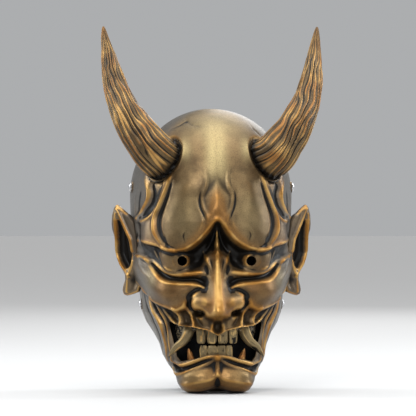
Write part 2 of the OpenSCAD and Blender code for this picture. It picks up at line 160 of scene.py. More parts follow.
# ---- the carved surface ----
class Surface:
    """A grid over the head. q and z are distances along the surface, the same on both sides."""

    def __init__(self, angles, heights, wobble):
        self.a, self.z = np.meshgrid(angles, heights)
        self.pos, self.out = plain(self.a, self.z)
        step = np.linalg.norm(np.diff(self.pos, axis=1), axis=2)
        run = np.concatenate([np.zeros((len(heights), 1)), np.cumsum(step, 1)], 1)
        mid = len(angles) // 2
        self.s = run - run[:, mid:mid + 1]
        self.heights, self.right, self.mid = heights, angles[mid:], mid
        x = np.abs(self.s)
        shift = np.sign(self.s) * ramp(4, 26, x) * wobble
        self.q = x + shift * (np.sin(self.z / 19 + 0.7) + 0.6 * np.sin(self.z / 7.3 + x / 11))
        self.v = self.z + shift * (np.sin(x / 13 + 2.1) + 0.6 * np.sin(self.z / 9 - x / 8))
        self.h = np.zeros_like(self.s)

    def along(self, points):
        """Surface distances of points given as (x from the middle line, z)."""
        out = []
        for x, z in points:
            w, _, _, p, _ = section(np.array(float(z)))
            a = np.arcsin(min(1.0, abs(x) / w) ** (1 / p))
            row = int(np.argmin(np.abs(self.heights - z)))
            out.append((np.sign(x) * np.interp(a, self.right, self.s[row, self.mid:]), z))
        return np.array(out)

    def line(self, points, closed=False):
        """A smooth line on the surface through points given as (x from the middle line, z)."""
        return spline(self.along(points), 6, closed)

    def near(self, line, reach, one_side=0):
        """Cells within reach of a line: their mask, distance to it and place along it from 0 to 1."""
        q = self.s * one_side if one_side else self.q
        low, high = line.min(0) - reach, line.max(0) + reach
        mask = (q > low[0]) & (q < high[0]) & (self.v > low[1]) & (self.v < high[1])
        return mask, *away(np.stack([q[mask], self.v[mask]], -1), line)

    def ridge(self, points, width, height, ends=(0.6, 0.6), crisp=True, one_side=0, closed=False):
        """Raises (or cuts, if height is negative) a line, thinner towards its ends."""
        line = self.line(points, closed)
        m, r, t = self.near(line, width * 4, one_side)
        u = (r / width) ** 2
        taper = 1
        if not closed:
            taper = (1 - (1 - ends[0]) * ramp(0.3, 0, t)) * (1 - (1 - ends[1]) * ramp(0.7, 1, t))
        self.h[m] += height * taper * (1 / (1 + u * (1 + 0.35 * u)) if crisp else np.exp(-u))

    def inside(self, points, reach):
        """Distance inside a closed outline, negative outside; cells beyond reach count as far outside."""
        line = self.line(points, True)
        mask, r, _ = self.near(line, reach)
        d = np.full(self.h.shape, -1e3)
        d[mask] = np.where(within(np.stack([self.q[mask], self.v[mask]], -1), line), r, -r)
        return d

    def plate(self, points, height, edge, dome=0.0, reach=10):
        """Raises (or sinks) a closed outline with an edge of the given width and a domed top."""
        d = self.inside(points, edge + reach + 2)
        self.h += height * ramp(-edge / 2, edge / 2, d) + dome * ramp(0, reach, d)

    def above(self, points):
        """Height above a line that runs out from the middle, measured square to it."""
        line = self.line(points)
        zl = np.interp(self.q, line[:, 0], line[:, 1])
        slope = np.gradient(line[:, 1], line[:, 0] + np.arange(len(line)) * 1e-6)
        near = ramp(26, 4, np.abs(self.v - zl))
        return (self.v - zl) / np.sqrt(1 + (near * np.interp(self.q, line[:, 0], slope)) ** 2)


BROW = ((0, 39), (2.5, 36), (5, 32), (10, 25), (16, 18), (23, 12.5), (30, 9.8), (37, 9.3), (44, 11),
        (51, 13.3), (60, 15.5), (68, 17.5), (74, 19))
LIP = ((0, -70.3), (4, -68.4), (9, -64.6), (22, -62), (34, -60.8), (40, -58.8), (45.5, -54.2), (50, -46.5))
CHEEK_TOP = ((62, 2), (57, -6), (51.5, -13.5), (43.5, -18), (32, -19.8), (20, -20.8), (11, -25))
CHEEK_LOW = ((74, -4), (71.5, -15), (66.5, -25), (60, -34), (53, -41), (45, -44.8), (36, -47), (29.5, -44.5),
             (26, -38))
LOWER_LIP = ((0, -86.8), (10, -88.8), (21, -93), (34, -96.2), (40, -92.5))


def carve(f):
    """All the carving of the face, from the big masses down to the thin lines."""
    x, z, q, v = np.abs(f.pos[..., 0]), f.z, f.q, f.v
    f.h += 4 * bell(x, z, 0, 52, 24, 22) + 6 * bell(q, v, 44, -27, 20, 14) + 6 * bell(x, z, 0, -70, 34, 20)
    f.h += (9 * bell(x, z, 16, -113, 17, 12) - 2.5 * bell(x, z, 0, -116, 5, 12)
            - 4 * bell(q, v, 56, -56, 12, 14))

    # Brow: a heavy overhanging rim in the shape of a wide M, with the eye hollows under it.
    above = f.above(BROW)
    far = ramp(100, 72, q)
    f.h += far * (8.5 * ramp(-2.2, 1.8, above) * (1 - 0.75 * ramp(4, 40, above)))
    low = ramp(0.5, -4, above) * ramp(-26, -9, above)
    f.h -= 7.5 * low * ramp(78, 62, q) * (1 - 0.8 * ramp(23, 30, q))
    f.ridge(BROW, 1.9, 2.6, (1.1, 0.6))
    f.h -= 3.8 * ramp(0.45 * (39 - v) + 1, 0.45 * (39 - v) - 4, q) * ramp(40, 33, v) * ramp(4, 14, v)
    f.ridge(((0, 38), (0, 24), (0, 9)), 1.3, 8.5, (0.5, 1))
    f.h += 5.0 * np.clip(1.5 - q / 3.2 - np.abs(v - 7.5) / 4.4, 0, 1)
    f.ridge(((14, 8.6), (11, 3), (8.3, -2.5), (6.4, -9), (5.4, -18)), 1.1, 2.8, (0.5, 0.3))

    # Forehead lobes, their outer ridges and the thin cracks between them.
    lobe = ((12.5, 82), (11.5, 76), (12.8, 69), (15.2, 63), (15.6, 57), (14.2, 50), (11.8, 43.5), (10.6, 37),
            (12, 31), (16, 24.5), (22, 18), (30, 14.5), (38, 14.5), (43, 19), (46, 27), (48, 37), (47.5, 47),
            (44.5, 57), (42, 66), (38, 78), (26, 92))
    d = f.inside(lobe, 24)
    f.h += (1.3 * ramp(-1, 1.2, d) + 2.6 * ramp(0, 17, d)) * ramp(92, 66, v)
    f.h -= 0.9 * bell(q, v, 0, 62, 9, 26)
    f.ridge(((42, 77), (45.5, 67), (49, 58), (52, 50), (54, 42), (54, 35), (52, 27), (48, 20), (43.5, 14)),
            1.8, 3.6)
    f.ridge(((41, 72), (43.8, 63), (47.6, 52), (50, 43), (49.6, 34), (46.5, 26), (43, 19)), 1.4, -2.2)
    f.ridge(((12, 83), (10.8, 76), (12, 69), (14.6, 63.5), (15, 57), (13.6, 50), (11, 43.5), (9.6, 37),
             (10.6, 31.5), (14.5, 24.7), (20, 18.5)), 0.7, -1.7, (0.3, 0.6))
    f.ridge(((10.8, 84), (9.7, 76), (10.8, 69), (13.4, 63.5), (13.8, 57), (12.3, 50), (9.7, 43.5),
             (8.4, 37.5)), 1.0, 2.5, (0.3, 0.7))
    f.ridge(((25.5, 30), (27.5, 24), (26.5, 19), (29, 14.5)), 0.7, -1.8, (0.3, 1))
    f.ridge(((44, 25), (41.5, 19.5), (39.8, 13)), 0.8, -1.8, (0.3, 1))
    f.ridge(((-40.5, 122), (-36, 124.5), (-32, 126.5), (-25, 130.5), (-20, 127), (-14, 125.5)),
            0.5, -1.5, one_side=1)
    f.ridge(((-25, 130), (-24.5, 133), (-25.5, 136)), 0.45, -1.2, (1, 0.2), one_side=1)
    f.ridge(((35, 127), (37.5, 122.5), (42, 119), (45, 114)), 0.5, -1.4, one_side=1)

    # Temple hollow with the strands around it.
    f.plate(((59.5, 74), (58.8, 62), (60.5, 53), (65.5, 44.5), (66, 40), (61, 40.5), (57.5, 45), (55.5, 52),
             (53, 60), (50, 70), (50, 79)), -3.4, 3.2)
    f.ridge(((67, 80), (63.5, 71), (61.4, 62), (63.6, 53), (68.6, 45), (72.5, 39.5)), 1.5, 2.8, (0.3, 0.9))
    f.ridge(((72.5, 39.5), (66.5, 36.6), (61, 38.2), (57, 43), (54.8, 49)), 1.4, 2.4)
    f.ridge(((73, 66), (74.2, 56), (73.5, 47), (74.5, 38)), 1.1, 1.6)
    f.ridge(((69.5, 64), (71, 55), (70.8, 46)), 1.2, -1.6)
    f.ridge(((76.5, 30), (76.8, 18), (76, 6), (74.5, -5)), 1.6, 2.2)
    f.ridge(((72.5, 24), (72.5, 12), (71, 1)), 2.0, -2.2)
    f.ridge(((70, 22), (67, 13), (61, 8)), 1.5, -1.8)

    # Eye: ball, ringed pupil, lids, the loose band under it and the crease that cups the cheek.
    lean = np.radians(17)
    ex, ez = q - f.along(((41, 1.8),))[0, 0], v - 1.8
    ea, eb = ex * np.cos(lean) + ez * np.sin(lean), ez * np.cos(lean) - ex * np.sin(lean)
    tall = np.maximum(11.2 * np.clip(1 - (ea / 20) ** 2, 0, 1) ** 1.1, 0.01)
    er = np.where(np.abs(ea) < 20, np.abs(eb) / tall, 9)
    f.h += 7.8 * (tall / 11.2) ** 0.75 * np.sqrt(np.clip(1 - er ** 2, 0, 1))
    px = q - f.along(((PUPIL_X, 0),))[0, 0]
    ring = np.sqrt(px ** 2 + v ** 2)
    f.h += 5.0 * ramp(8.5, 5.5, ring) * ramp(0.75, 1.1, er) + 1.0 * np.exp(-((ring - 6.3) / 0.8) ** 2)
    f.ridge(((57.5, 10.5), (54.5, 2.5), (47, -5), (37.5, -8.8), (28.5, -8), (23.5, -3.5)), 1.0, 1.7)
    f.ridge(((72, 10), (63, 2.5), (54, -4.6), (45, -9.8), (34, -12.2), (23, -11.2), (14, -11), (7.5, -15)),
            2.9, 3.6, (0.5, 0.5), crisp=False)
    f.ridge(((66, 1.5), (58.5, -3.4), (52.5, -10.5), (44.5, -15), (32.5, -16.9), (20.5, -17.2), (11.5, -21)),
            1.5, -4.4, (0.3, 0.6))
    f.h -= 5.0 * bell(q, v, 18.5, -1, 6.5, 6.5)

    # Cheek: a raised plate with a gilded edge all round.
    cheek = CHEEK_TOP + ((18, -31),) + CHEEK_LOW[::-1] + ((73, 6),)
    f.plate(cheek, 4.6, 2.6, 1.5, 14)
    f.ridge(CHEEK_TOP, 1.3, 2.2, (0.8, 0.4))
    f.ridge(CHEEK_LOW, 1.6, 2.0, (0.7, 0.4))
    f.ridge(((68, 4), (64.5, -8), (58, -17)), 1.6, 1.2)

    # Nose: a roof with a double crest, flaring to the wings, cut off square under the tip.
    tall = np.interp(-v, (-12, -6, 4, 14, 24, 34, 42, 47.5, 51, 54, 58),
                     (0, 4.5, 8, 12, 17, 23.5, 29, 31.2, 28, 12, 0))
    half = np.interp(-v, (-10, 0, 12, 22, 30, 38, 46, 54), (6, 8.5, 12, 16, 19, 20, 18, 13))
    roof = 0.78 * np.clip(1 - (q / half) ** 2, 0, 1) ** 1.7
    crest = 0.22 * np.exp(-np.abs(q / (2.4 - 0.05 * v)) ** 2.8) * (0.35 + 0.65 * ramp(-54, -46, v))
    bridge = tall * (roof + crest)
    wing_tall = np.where(v > -39.5, 12, 8.5)
    wing = 15 * np.clip(1 - ((q - 14.6) / 9.8) ** 2 - ((v + 39.5) / wing_tall) ** 2, 0, 1) ** 0.6
    f.h += smooth_max(bridge, wing, 9) + 6 * bell(q, v, 9, -38, 5, 9)
    f.h += 0.035 * tall * np.exp(-((q - 1.9) / 0.8) ** 2) - 0.03 * tall * np.exp(-(q / 0.8) ** 2)
    f.ridge(((9, -26), (14, -25.6), (20, -27), (25.2, -32), (26.2, -39), (25.2, -45.5)),
            1.2, -2.4, (0.2, 0.7))
    f.h -= 9 * np.clip(1 - ((q - 16.5) / 6) ** 2 - ((v + 48.6) / 3.4) ** 2, 0, 1) ** 0.5
    f.ridge(((2, -54.5), (7, -51.8), (11.5, -47), (16.5, -45.2), (22, -46.2)), 0.9, 1.5, (0.8, 0.3))

    # Upper lip: sunk between the cheek and the lip line, with tendons, deep slots and the ring.
    f.h -= 2.4 * ramp(-44, -49, v + 0.1 * q) * ramp(-64, -59, v) * ramp(20, 28, q) * ramp(56, 46, q)
    f.ridge(LIP, 1.5, 3.0, (1.2, 0.5))
    f.ridge(((37.5, -45), (35.5, -51), (33.5, -60.5)), 1.5, 3.6, (0.9, 0.9))
    f.ridge(((27, -42.5), (23.5, -51), (20, -61)), 1.4, 3.6, (0.6, 0.9))
    f.plate(((48.5, -47), (44, -46.8), (39.5, -49.5), (37, -55), (38.5, -57.5), (43, -56), (47, -52)),
            -2.8, 1.6)
    f.plate(((33.5, -47.5), (29.5, -46), (26.8, -51), (24.5, -58), (27.5, -59.5), (31.2, -57)), -2.8, 1.6)
    f.ridge(((25, -47), (19, -54), (12, -62)), 2.0, -2.6, (0.7, 0.4))
    f.h += 2.6 * bell(q, v, 10.5, -56, 5.5, 5.5)
    drop = np.sqrt((q / (4.8 - 0.9 * ramp(-60, -52, v))) ** 2 + ((v + 61.5) / 7.4) ** 2)
    f.h += 2.9 * np.exp(-((drop - 1) / 0.26) ** 2) - 2.8 * ramp(1.0, 0.35, drop)

    # Lower lip, the dark hollow under it, and the double-lobed chin with its forked ridge.
    f.ridge(((0, -88.6), (10, -90.6), (21, -95), (33, -98), (41, -94.5)), 1.9, 3.6, (1, 0.6))
    f.ridge(((5, -92.8), (13, -95.2), (24, -99.8), (34, -102.6), (39.5, -98.5)), 2.0, -3.8, (0.5, 1))
    f.h -= 3 * bell(q, v, f.along(((36, -100),))[0, 0], -100, 6, 3.6)
    f.ridge(((0, -91.2), (8, -94.8), (19.5, -99.8), (29, -105), (34.5, -107), (39.5, -101)),
            1.5, 3.2, (1, 0.7))
    f.ridge(((0, -91), (0, -99), (0, -107)), 1.7, 2.6, (1, 1))
    f.ridge(((0, -105.5), (4, -110.3), (13, -113.6), (25, -115.6), (33, -112)), 2.0, 1.9, (1, 0.3))
    f.h += 1.8 * bell(q, v, f.along(((18, -107),))[0, 0], -107, 11, 5) - 1.5 * bell(q, v, 0, -118, 5, 6)
    f.h += 2.4 * bell(q, v, f.along(((20, -119),))[0, 0], -119, 12, 4)

    # Jaw side: long strands with dark gaps between them.
    f.ridge(((63, -27), (61, -38), (58.6, -47), (53, -58.5), (48, -71), (45, -85), (43.5, -95)),
            1.5, 3.2, (0.5, 0.8))
    f.ridge(((59.5, -33), (56.3, -47), (50.6, -58.5), (46, -70), (43.2, -82), (42, -90)),
            1.7, -4.6, (0.4, 0.5))
    f.ridge(((57, -35), (52, -50), (48, -60), (44.4, -72), (41.6, -83), (40.4, -93)), 1.4, 3.2, (0.4, 0.9))
    f.ridge(((66, -31), (64.5, -42), (60, -54), (54.5, -66), (49.5, -80), (46.5, -94)), 2.0, -2.0, (0.4, 0.4))
    f.ridge(((67.4, -28), (66.4, -42), (63.6, -55), (57, -68), (51, -82), (48, -95)), 1.8, 1.8, (0.4, 0.6))


def blur(h, size):
    """Softens a grid of heights over about size cells each way."""
    k = np.exp(-0.5 * (np.arange(-3 * size, 3 * size + 1) / size) ** 2)
    k /= k.sum()
    r = 3 * size
    for axis in (0, 1):
        pad = [(r, r) if i == axis else (0, 0) for i in (0, 1)]
        p = np.pad(h, pad, mode="edge")
        n = h.shape[axis]
        h = sum(w * p.take(range(i, i + n), axis) for i, w in enumerate(k))
    return h


def value_noise(u, v, cells_u, cells_v, seed, wrap=True):
    """Smooth random values over u and v (each 0 to 1); u wraps round if asked."""
    table = np.random.default_rng(seed).random((cells_u + (0 if wrap else 2), cells_v + 2))
    x, y = u * cells_u, np.clip(v, 0, 0.9999) * cells_v
    i, j = np.floor(x).astype(int), np.floor(y).astype(int)
    fx, fy = x - i, y - j
    fx, fy = fx * fx * (3 - 2 * fx), fy * fy * (3 - 2 * fy)
    i0, i1 = np.clip(i, 0, cells_u), np.clip(i + 1, 0, cells_u + 1)
    if wrap:
        i0, i1 = i % cells_u, (i + 1) % cells_u
    return ((table[i0, j] * (1 - fx) + table[i1, j] * fx) * (1 - fy)
            + (table[i0, j + 1] * (1 - fx) + table[i1, j + 1] * fx) * fy)


# ---- Blender objects ----
def add_mesh(name, points, faces, attributes=None, smooth=True):
    """A mesh object from points in millimetres, with named values at its points."""
    me = bpy.data.meshes.new(name)
    me.from_pydata((np.asarray(points) * MM).tolist(), [], [list(map(int, f)) for f in faces])
    me.validate()
    for key, values in (attributes or {}).items():
        layer = me.attributes.new(key, "FLOAT", "POINT")
        layer.data.foreach_set("value", np.asarray(values, np.float32).ravel())
    if smooth:
        me.shade_smooth()
    obj = bpy.data.objects.new(name, me)
    bpy.context.scene.collection.objects.link(obj)
    return obj


def join(objs, name):
    bpy.ops.object.select_all(action="DESELECT")
    for o in objs:
        o.select_set(True)
    bpy.context.view_layer.objects.active = objs[0]
    bpy.ops.object.join()
    objs[0].name = name
    return objs[0]


def grid_faces(rows, cols, start=0, flip=False, wrap=False):
    i, j = np.meshgrid(np.arange(cols if wrap else cols - 1), np.arange(rows - 1))
    k = (i + 1) % cols
    low, high = j * cols + start, (j + 1) * cols + start
    f = np.stack([low + i, low + k, high + k, high + i], -1).reshape(-1, 4)
    return (f[:, ::-1] if flip else f).tolist()


def tube_faces(rows, n):
    """The faces of a closed tube of rings, n points round, with both ends capped."""
    return grid_faces(rows, n, wrap=True) + [list(range(n))[::-1], [(rows - 1) * n + i for i in range(n)]]


def slab(name, front, back, values=None, flip=False):
    """A thin closed piece from two grids of points, one behind the other."""
    rows, cols = front.shape[:2]
    m = rows * cols
    border = list(range(cols)) + [j * cols + cols - 1 for j in range(1, rows)]
    border += [m - 1 - i for i in range(1, cols)] + [j * cols for j in range(rows - 2, 0, -1)]
    rim = [[p, p + m, q + m, q] for p, q in zip(border, border[1:] + border[:1])]
    faces = grid_faces(rows, cols, 0, flip) + grid_faces(rows, cols, m, not flip)
    faces += [f[::-1] for f in rim] if flip else rim
    points = np.concatenate([front.reshape(-1, 3), back.reshape(-1, 3)])
    return outwards(add_mesh(name, points, faces, values))


def cylinder(base, axis, radius, length, n=40, values=None):
    """A closed cylinder in millimetres from its base point along an axis."""
    axis = np.array(axis, float) / np.linalg.norm(axis)
    side = np.cross(axis, (0.3, 1, 0.2))
    side /= np.linalg.norm(side)
    other = np.cross(axis, side)
    t = np.linspace(0, 2 * np.pi, n, endpoint=False)[:, None]
    ring = np.array(base) + radius * (np.cos(t) * side + np.sin(t) * other)
    pts = np.concatenate([ring, ring + length * axis])
    values = {key: np.full(2 * n, v) for key, v in (values or {}).items()}
    return add_mesh("disc", pts, tube_faces(2, n), values, smooth=False)


def prism(outline, y0, y1):
    """A closed prism along Y from an (x, z) outline in millimetres."""
    n = len(outline)
    pts = [(x, y0, z) for x, z in outline] + [(x, y1, z) for x, z in outline]
    faces = [[i, (i + 1) % n, n + (i + 1) % n, n + i] for i in range(n)]
    return add_mesh("cutter", pts, faces + [list(range(n))[::-1], list(range(n, 2 * n))], smooth=False)


def outwards(obj):
    bm = bmesh.new()
    bm.from_mesh(obj.data)
    bmesh.ops.remove_doubles(bm, verts=bm.verts, dist=1e-5)
    bmesh.ops.recalc_face_normals(bm, faces=bm.faces)
    bm.to_mesh(obj.data)
    bm.free()
    return obj


def cut(obj, cutters, operation="DIFFERENCE"):
    """Cuts closed shapes out of a closed object, or unites them with it."""
    for c in cutters:
        outwards(c)
        mod = obj.modifiers.new("cut", "BOOLEAN")
        mod.operation, mod.object, mod.solver = operation, c, "MANIFOLD"
    deps = bpy.context.evaluated_depsgraph_get()
    me = bpy.data.meshes.new_from_object(obj.evaluated_get(deps))
    obj.modifiers.clear()
    obj.data = me
    for c in cutters:
        bpy.data.objects.remove(c)
    return obj


# ---- the casting ----
FRONT, SIDE = 58.0, 89.99
angles = np.radians(np.concatenate([np.linspace(-SIDE, -FRONT, 36)[:-1], np.linspace(-FRONT, FRONT, 195),
                                    np.linspace(FRONT, SIDE, 36)[1:]]))
heights = np.concatenate([np.linspace(CHIN, DOME_Z, 232)[:-1],
                          DOME_Z + DOME_H * np.sin(np.radians(np.linspace(0, 86, 76)))])
# Each horn's foot: its height and angle on the head, and the radii of the lip round it and of its seat.
HORN_Z, HORN_A, FOOT, SEAT = 95.0, 44.0, 22.9, 21.8
horn_top, horn_out = (v[()] for v in plain(np.radians(HORN_A), np.array(HORN_Z)))
horn_seat = horn_top - 2 * horn_out


# Painted highlights, where the lamps' reflections fall on the metal: how much, then the middle and the spread
# of each spot in x and z.
PAINTED_HIGHLIGHTS = ((0.9, (3, 97, 7, 24)), (0.8, (28, 104, 5, 10)), (0.3, (27, 45, 14, 26)), (0.5, (0, 128, 30, 14)),
         (0.35, (20, -108, 16, 8)), (0.5, (56, -17, 5, 13)), (0.35, (18, -37, 6, 6)))


def face_surface():
    f = Surface(angles, heights, 0.45)
    carve(f)
    # A thin lip round each horn's foot, and the seat inside it.
    mirror = np.stack([np.abs(f.pos[..., 0]), f.pos[..., 1], f.pos[..., 2]], -1) - horn_seat
    radial = np.linalg.norm(mirror - (mirror @ horn_out)[..., None] * horn_out, axis=-1)
    near = ramp(40, 30, radial)
    turn = np.arctan2(f.pos[..., 2] - HORN_Z, np.abs(f.pos[..., 0]) - 49)
    rough = 0.5 * np.sin(7 * turn + 1) + 0.4 * np.sin(13 * turn)
    f.h += near * (1.7 * np.exp(-((radial - FOOT - 0.35 * rough) / 0.85) ** 2)
                   - 3.6 * ramp(FOOT, 21.6, radial))
    f.h = blur(f.h, 1)
    f.h = 0.6 * f.h + 0.4 * blur(f.h, 1)
    f.h *= ramp(89.9, 76, np.degrees(np.abs(f.a)))
    f.lift = f.pos + f.out * f.h[..., None]
    # The chin parts into two lobes underneath.
    f.lift[..., 2] += 5.5 * np.exp(-(f.pos[..., 0] / 7.5) ** 2) * ramp(-113, CHIN, f.z)
    fine, broad = blur(f.h, 2), blur(f.h, 7)
    f.edge = np.clip((f.h - fine) * 2.0 - 0.08, 0, 1)
    f.warm = np.clip((fine - broad) * 0.3, 0, 1)
    # Dark patina and painted shade: the hollows darken by how far they sink below their surroundings, as
    # shade gathers in them; the patches below take some of it back.
    f.hollow = np.clip((fine - f.h) * 1.3 + (broad - f.h) * 0.27 - 0.05, 0, 1)
    x, z, q, v = np.abs(f.pos[..., 0]), f.z, f.q, f.v
    f.hollow *= 1 - 0.62 * ramp(-43, -48, v) * ramp(-70, -66, v) * ramp(58, 50, q)
    f.hollow *= 1 - 0.45 * bell(q, v, 11, 20, 8, 11)
    f.hollow *= 1 - 0.3 * ramp(10, 20, q) * ramp(60, 52, q) * ramp(-24, -19, v) * ramp(-8, -12, v)
    f.hollow *= 1 - 0.3 * ramp(14, 20, q) * ramp(66, 58, q) * ramp(-28, -22, v) * ramp(5, -1, v)
    # Painted shade: a near-black ring round each horn's foot, where the horn meets the head.
    f.hollow = np.maximum(f.hollow, near * ramp(23.3, 22.2, radial) * 0.95)
    low_cheek, _ = away(np.stack([q, v], -1), f.line(CHEEK_LOW))
    f.warm += (0.8 * bell(x, z, 22, -124, 22, 7) + 0.9 * np.exp(-(low_cheek / 5) ** 2) * ramp(-50, -20, -q)
               + 0.8 * bell(x, z, 0, -52, 9, 5) + 0.95 * bell(x, z, 0, 50, 7, 20)
               + 0.4 * bell(q, v, 62, 33, 9, 8))
    f.warm = np.clip(f.warm, 0, 1)
    f.warm = np.maximum(f.warm, 0.75 * bell(x, z, 0, -110, 40, 15) + 0.4 * bell(q, v, 46, -28, 18, 12))
    f.edge *= 1 - 0.45 * near * ramp(26, 24, radial)
    f.edge = np.maximum(f.edge, 0.55 * bell(x, z, 0, 44, 2.5, 9) + 0.6 * bell(x, z, 23, -122, 17, 4.5)
                        + 0.45 * bell(x, z, 0, -52, 7, 3) + 0.4 * bell(q, v, 50, -42, 11, 3.2))
    # Painted highlights: spots of lamp reflection on the forehead, by the horns' feet, on the crown, chin,
    # cheeks and nose wings.
    f.sheen = np.clip(sum(part * bell(x, z, *spot) for part, spot in PAINTED_HIGHLIGHTS), 0, 1)
    return f


def stitch(a, b):
    """Triangles between two lines of points, given as (index, height) in order."""
    out, i, j = [], 0, 0
    while i < len(a) - 1 or j < len(b) - 1:
        if j == len(b) - 1 or (i < len(a) - 1 and a[i + 1][1] <= b[j + 1][1]):
            out.append([a[i][0], a[i + 1][0], b[j][0]])
            i += 1
        else:
            out.append([a[i][0], b[j + 1][0], b[j][0]])
            j += 1
    return out


THINNEST = 2.0


def lining_lift(f, x, a, z):
    """How far the lining follows the carving: it stays THINNEST behind the deepest carving near it."""
    rows, cols = f.z.shape
    lift = lining_relief(x, z) * ramp(86, 60, np.degrees(np.abs(a)))
    lowest = f.h
    for _ in range(3):
        p = np.pad(lowest, 1, mode="edge")
        lowest = np.minimum.reduce([p[1:-1, 1:-1], p[:-2, 1:-1], p[2:, 1:-1], p[1:-1, :-2], p[1:-1, 2:]])
    row, col = np.interp(z, f.heights, np.arange(rows)), np.interp(a, f.a[0], np.arange(cols))
    r0, c0 = np.minimum(row.astype(int), rows - 2), np.minimum(col.astype(int), cols - 2)
    corners = [lowest[r0 + j, c0 + i] for j in (0, 1) for i in (0, 1)]
    return np.minimum(lift, np.minimum.reduce(corners) + WALL - THINNEST)


def casting():
    f = face_surface()
    rows, cols = f.z.shape
    turns = np.radians(np.linspace(-SIDE, SIDE, 81))
    tall = np.concatenate([np.linspace(CHIN + WALL, DOME_Z, 60)[:-1],
                           DOME_Z + (DOME_H - WALL) * np.sin(np.radians(np.linspace(0, 85, 24)))])
    a, z = np.meshgrid(turns, tall)
    base, out = plain(a, np.where(z > DOME_Z, DOME_Z + (z - DOME_Z) * DOME_H / (DOME_H - WALL), z))
    lift = lining_lift(f, base[..., 0], a, z)
    inner = base + out * (lift - WALL)[..., None]
    inner[..., 2] = np.maximum(inner[..., 2], CHIN + WALL)
    outer = f.lift.copy()
    for g, zz in ((outer, f.z), (inner, z)):
        for c in (0, -1):
            g[:, c, 1] = -lookup(EDGES, np.minimum(zz[:, c], DOME_Z))
    m = rows * cols
    pts = np.concatenate([outer.reshape(-1, 3), inner.reshape(-1, 3)])
    ir, ic = z.shape
    faces = grid_faces(rows, cols) + grid_faces(ir, ic, m, True)
    for c, ci, flip in ((0, 0, True), (cols - 1, ic - 1, False)):
        o = [(j * cols + c, outer[j, c, 2]) for j in range(rows)]
        n = [(m + j * ic + ci, inner[j, ci, 2]) for j in range(ir)]
        strip = stitch(o, n)
        faces += [t[::-1] for t in strip] if flip else strip
    faces += [list(range(cols))[::-1], [m + i for i in range(ic)], [0, cols - 1, m + ic - 1, m]]
    top, top_in = (rows - 1) * cols, m + (ir - 1) * ic
    faces += [[top + i for i in range(cols)], [top_in + i for i in range(ic)][::-1],
              [top + cols - 1, top, top_in, top_in + ic - 1]]
    blank = np.zeros(ir * ic)
    # Painted reflection: the steep sides of the head turn a cool grey, as the side lamps' glare on the metal
    # would show them.
    side = ramp(0.55, 1.0, np.abs(np.sin(f.a)))
    grids = {"edge": blur(f.edge, 1), "warm": f.warm, "sheen": f.sheen, "hollow": f.hollow, "side": side}
    values = {key: np.concatenate([grid.ravel(), blank]) for key, grid in grids.items()}
    values["lining"] = np.concatenate([np.zeros(m), blank + 1])
    obj = add_mesh("face_casting", pts, faces, values)
    bm = bmesh.new()
    bm.from_mesh(obj.data)
    bmesh.ops.triangulate(bm, faces=[x for x in bm.faces if len(x.verts) > 4])
    bmesh.ops.recalc_face_normals(bm, faces=bm.faces)
    bm.to_mesh(obj.data)
    bm.free()
    return f, obj


MOUTH = ((0, -69.6), (4, -67.6), (9, -64.9), (22, -62.2), (34, -61), (40, -59), (44, -57.2), (43, -64),
         (40.6, -74), (38.4, -83), (37, -90), (33.5, -94.6), (21, -92), (10, -88.2), (0, -86.3))


def both(outline):
    return list(outline) + [(-x, z) for x, z in outline[::-1] if x > 0]


def circle(x, z, radius, n=28):
    turns = np.linspace(0, 2 * np.pi, n, endpoint=False)
    return [(x + radius * np.cos(t), z + radius * np.sin(t)) for t in turns]


# The ear's outer and inner border as (z, x), its free border and the bowl in it.
EAR_OUT = ((-35, 81.5), (-34, 83.6), (-30, 84.8), (-25, 84), (-20, 82.4), (-15, 82.6), (-8, 86.2), (0, 89.2),
           (8, 90.8), (18, 91.6), (23, 92.8), (28, 94.4), (34, 95), (42, 94.6), (49, 92.8), (52.5, 90.6))
EAR_IN = ((-35, 81), (-33.6, 76), (-31, 70), (-26, 68.5), (-20, 68), (0, 69.8), (22, 71.6), (35, 74),
          (43.5, 80.3), (48, 85), (51, 88.6), (52.5, 90.4))
EAR_FREE = ([(x, z) for z, x in EAR_IN if z <= -26][::-1] + [(x, z) for z, x in EAR_OUT]
            + [(x, z) for z, x in EAR_IN[::-1] if z > 40])
CONCHA = ((88.4, 37), (86, 36), (81.6, 25), (77.5, 15), (75.5, 4), (76.5, -6), (80.5, -9), (85, -2), (88, 6),
          (88.2, 20))


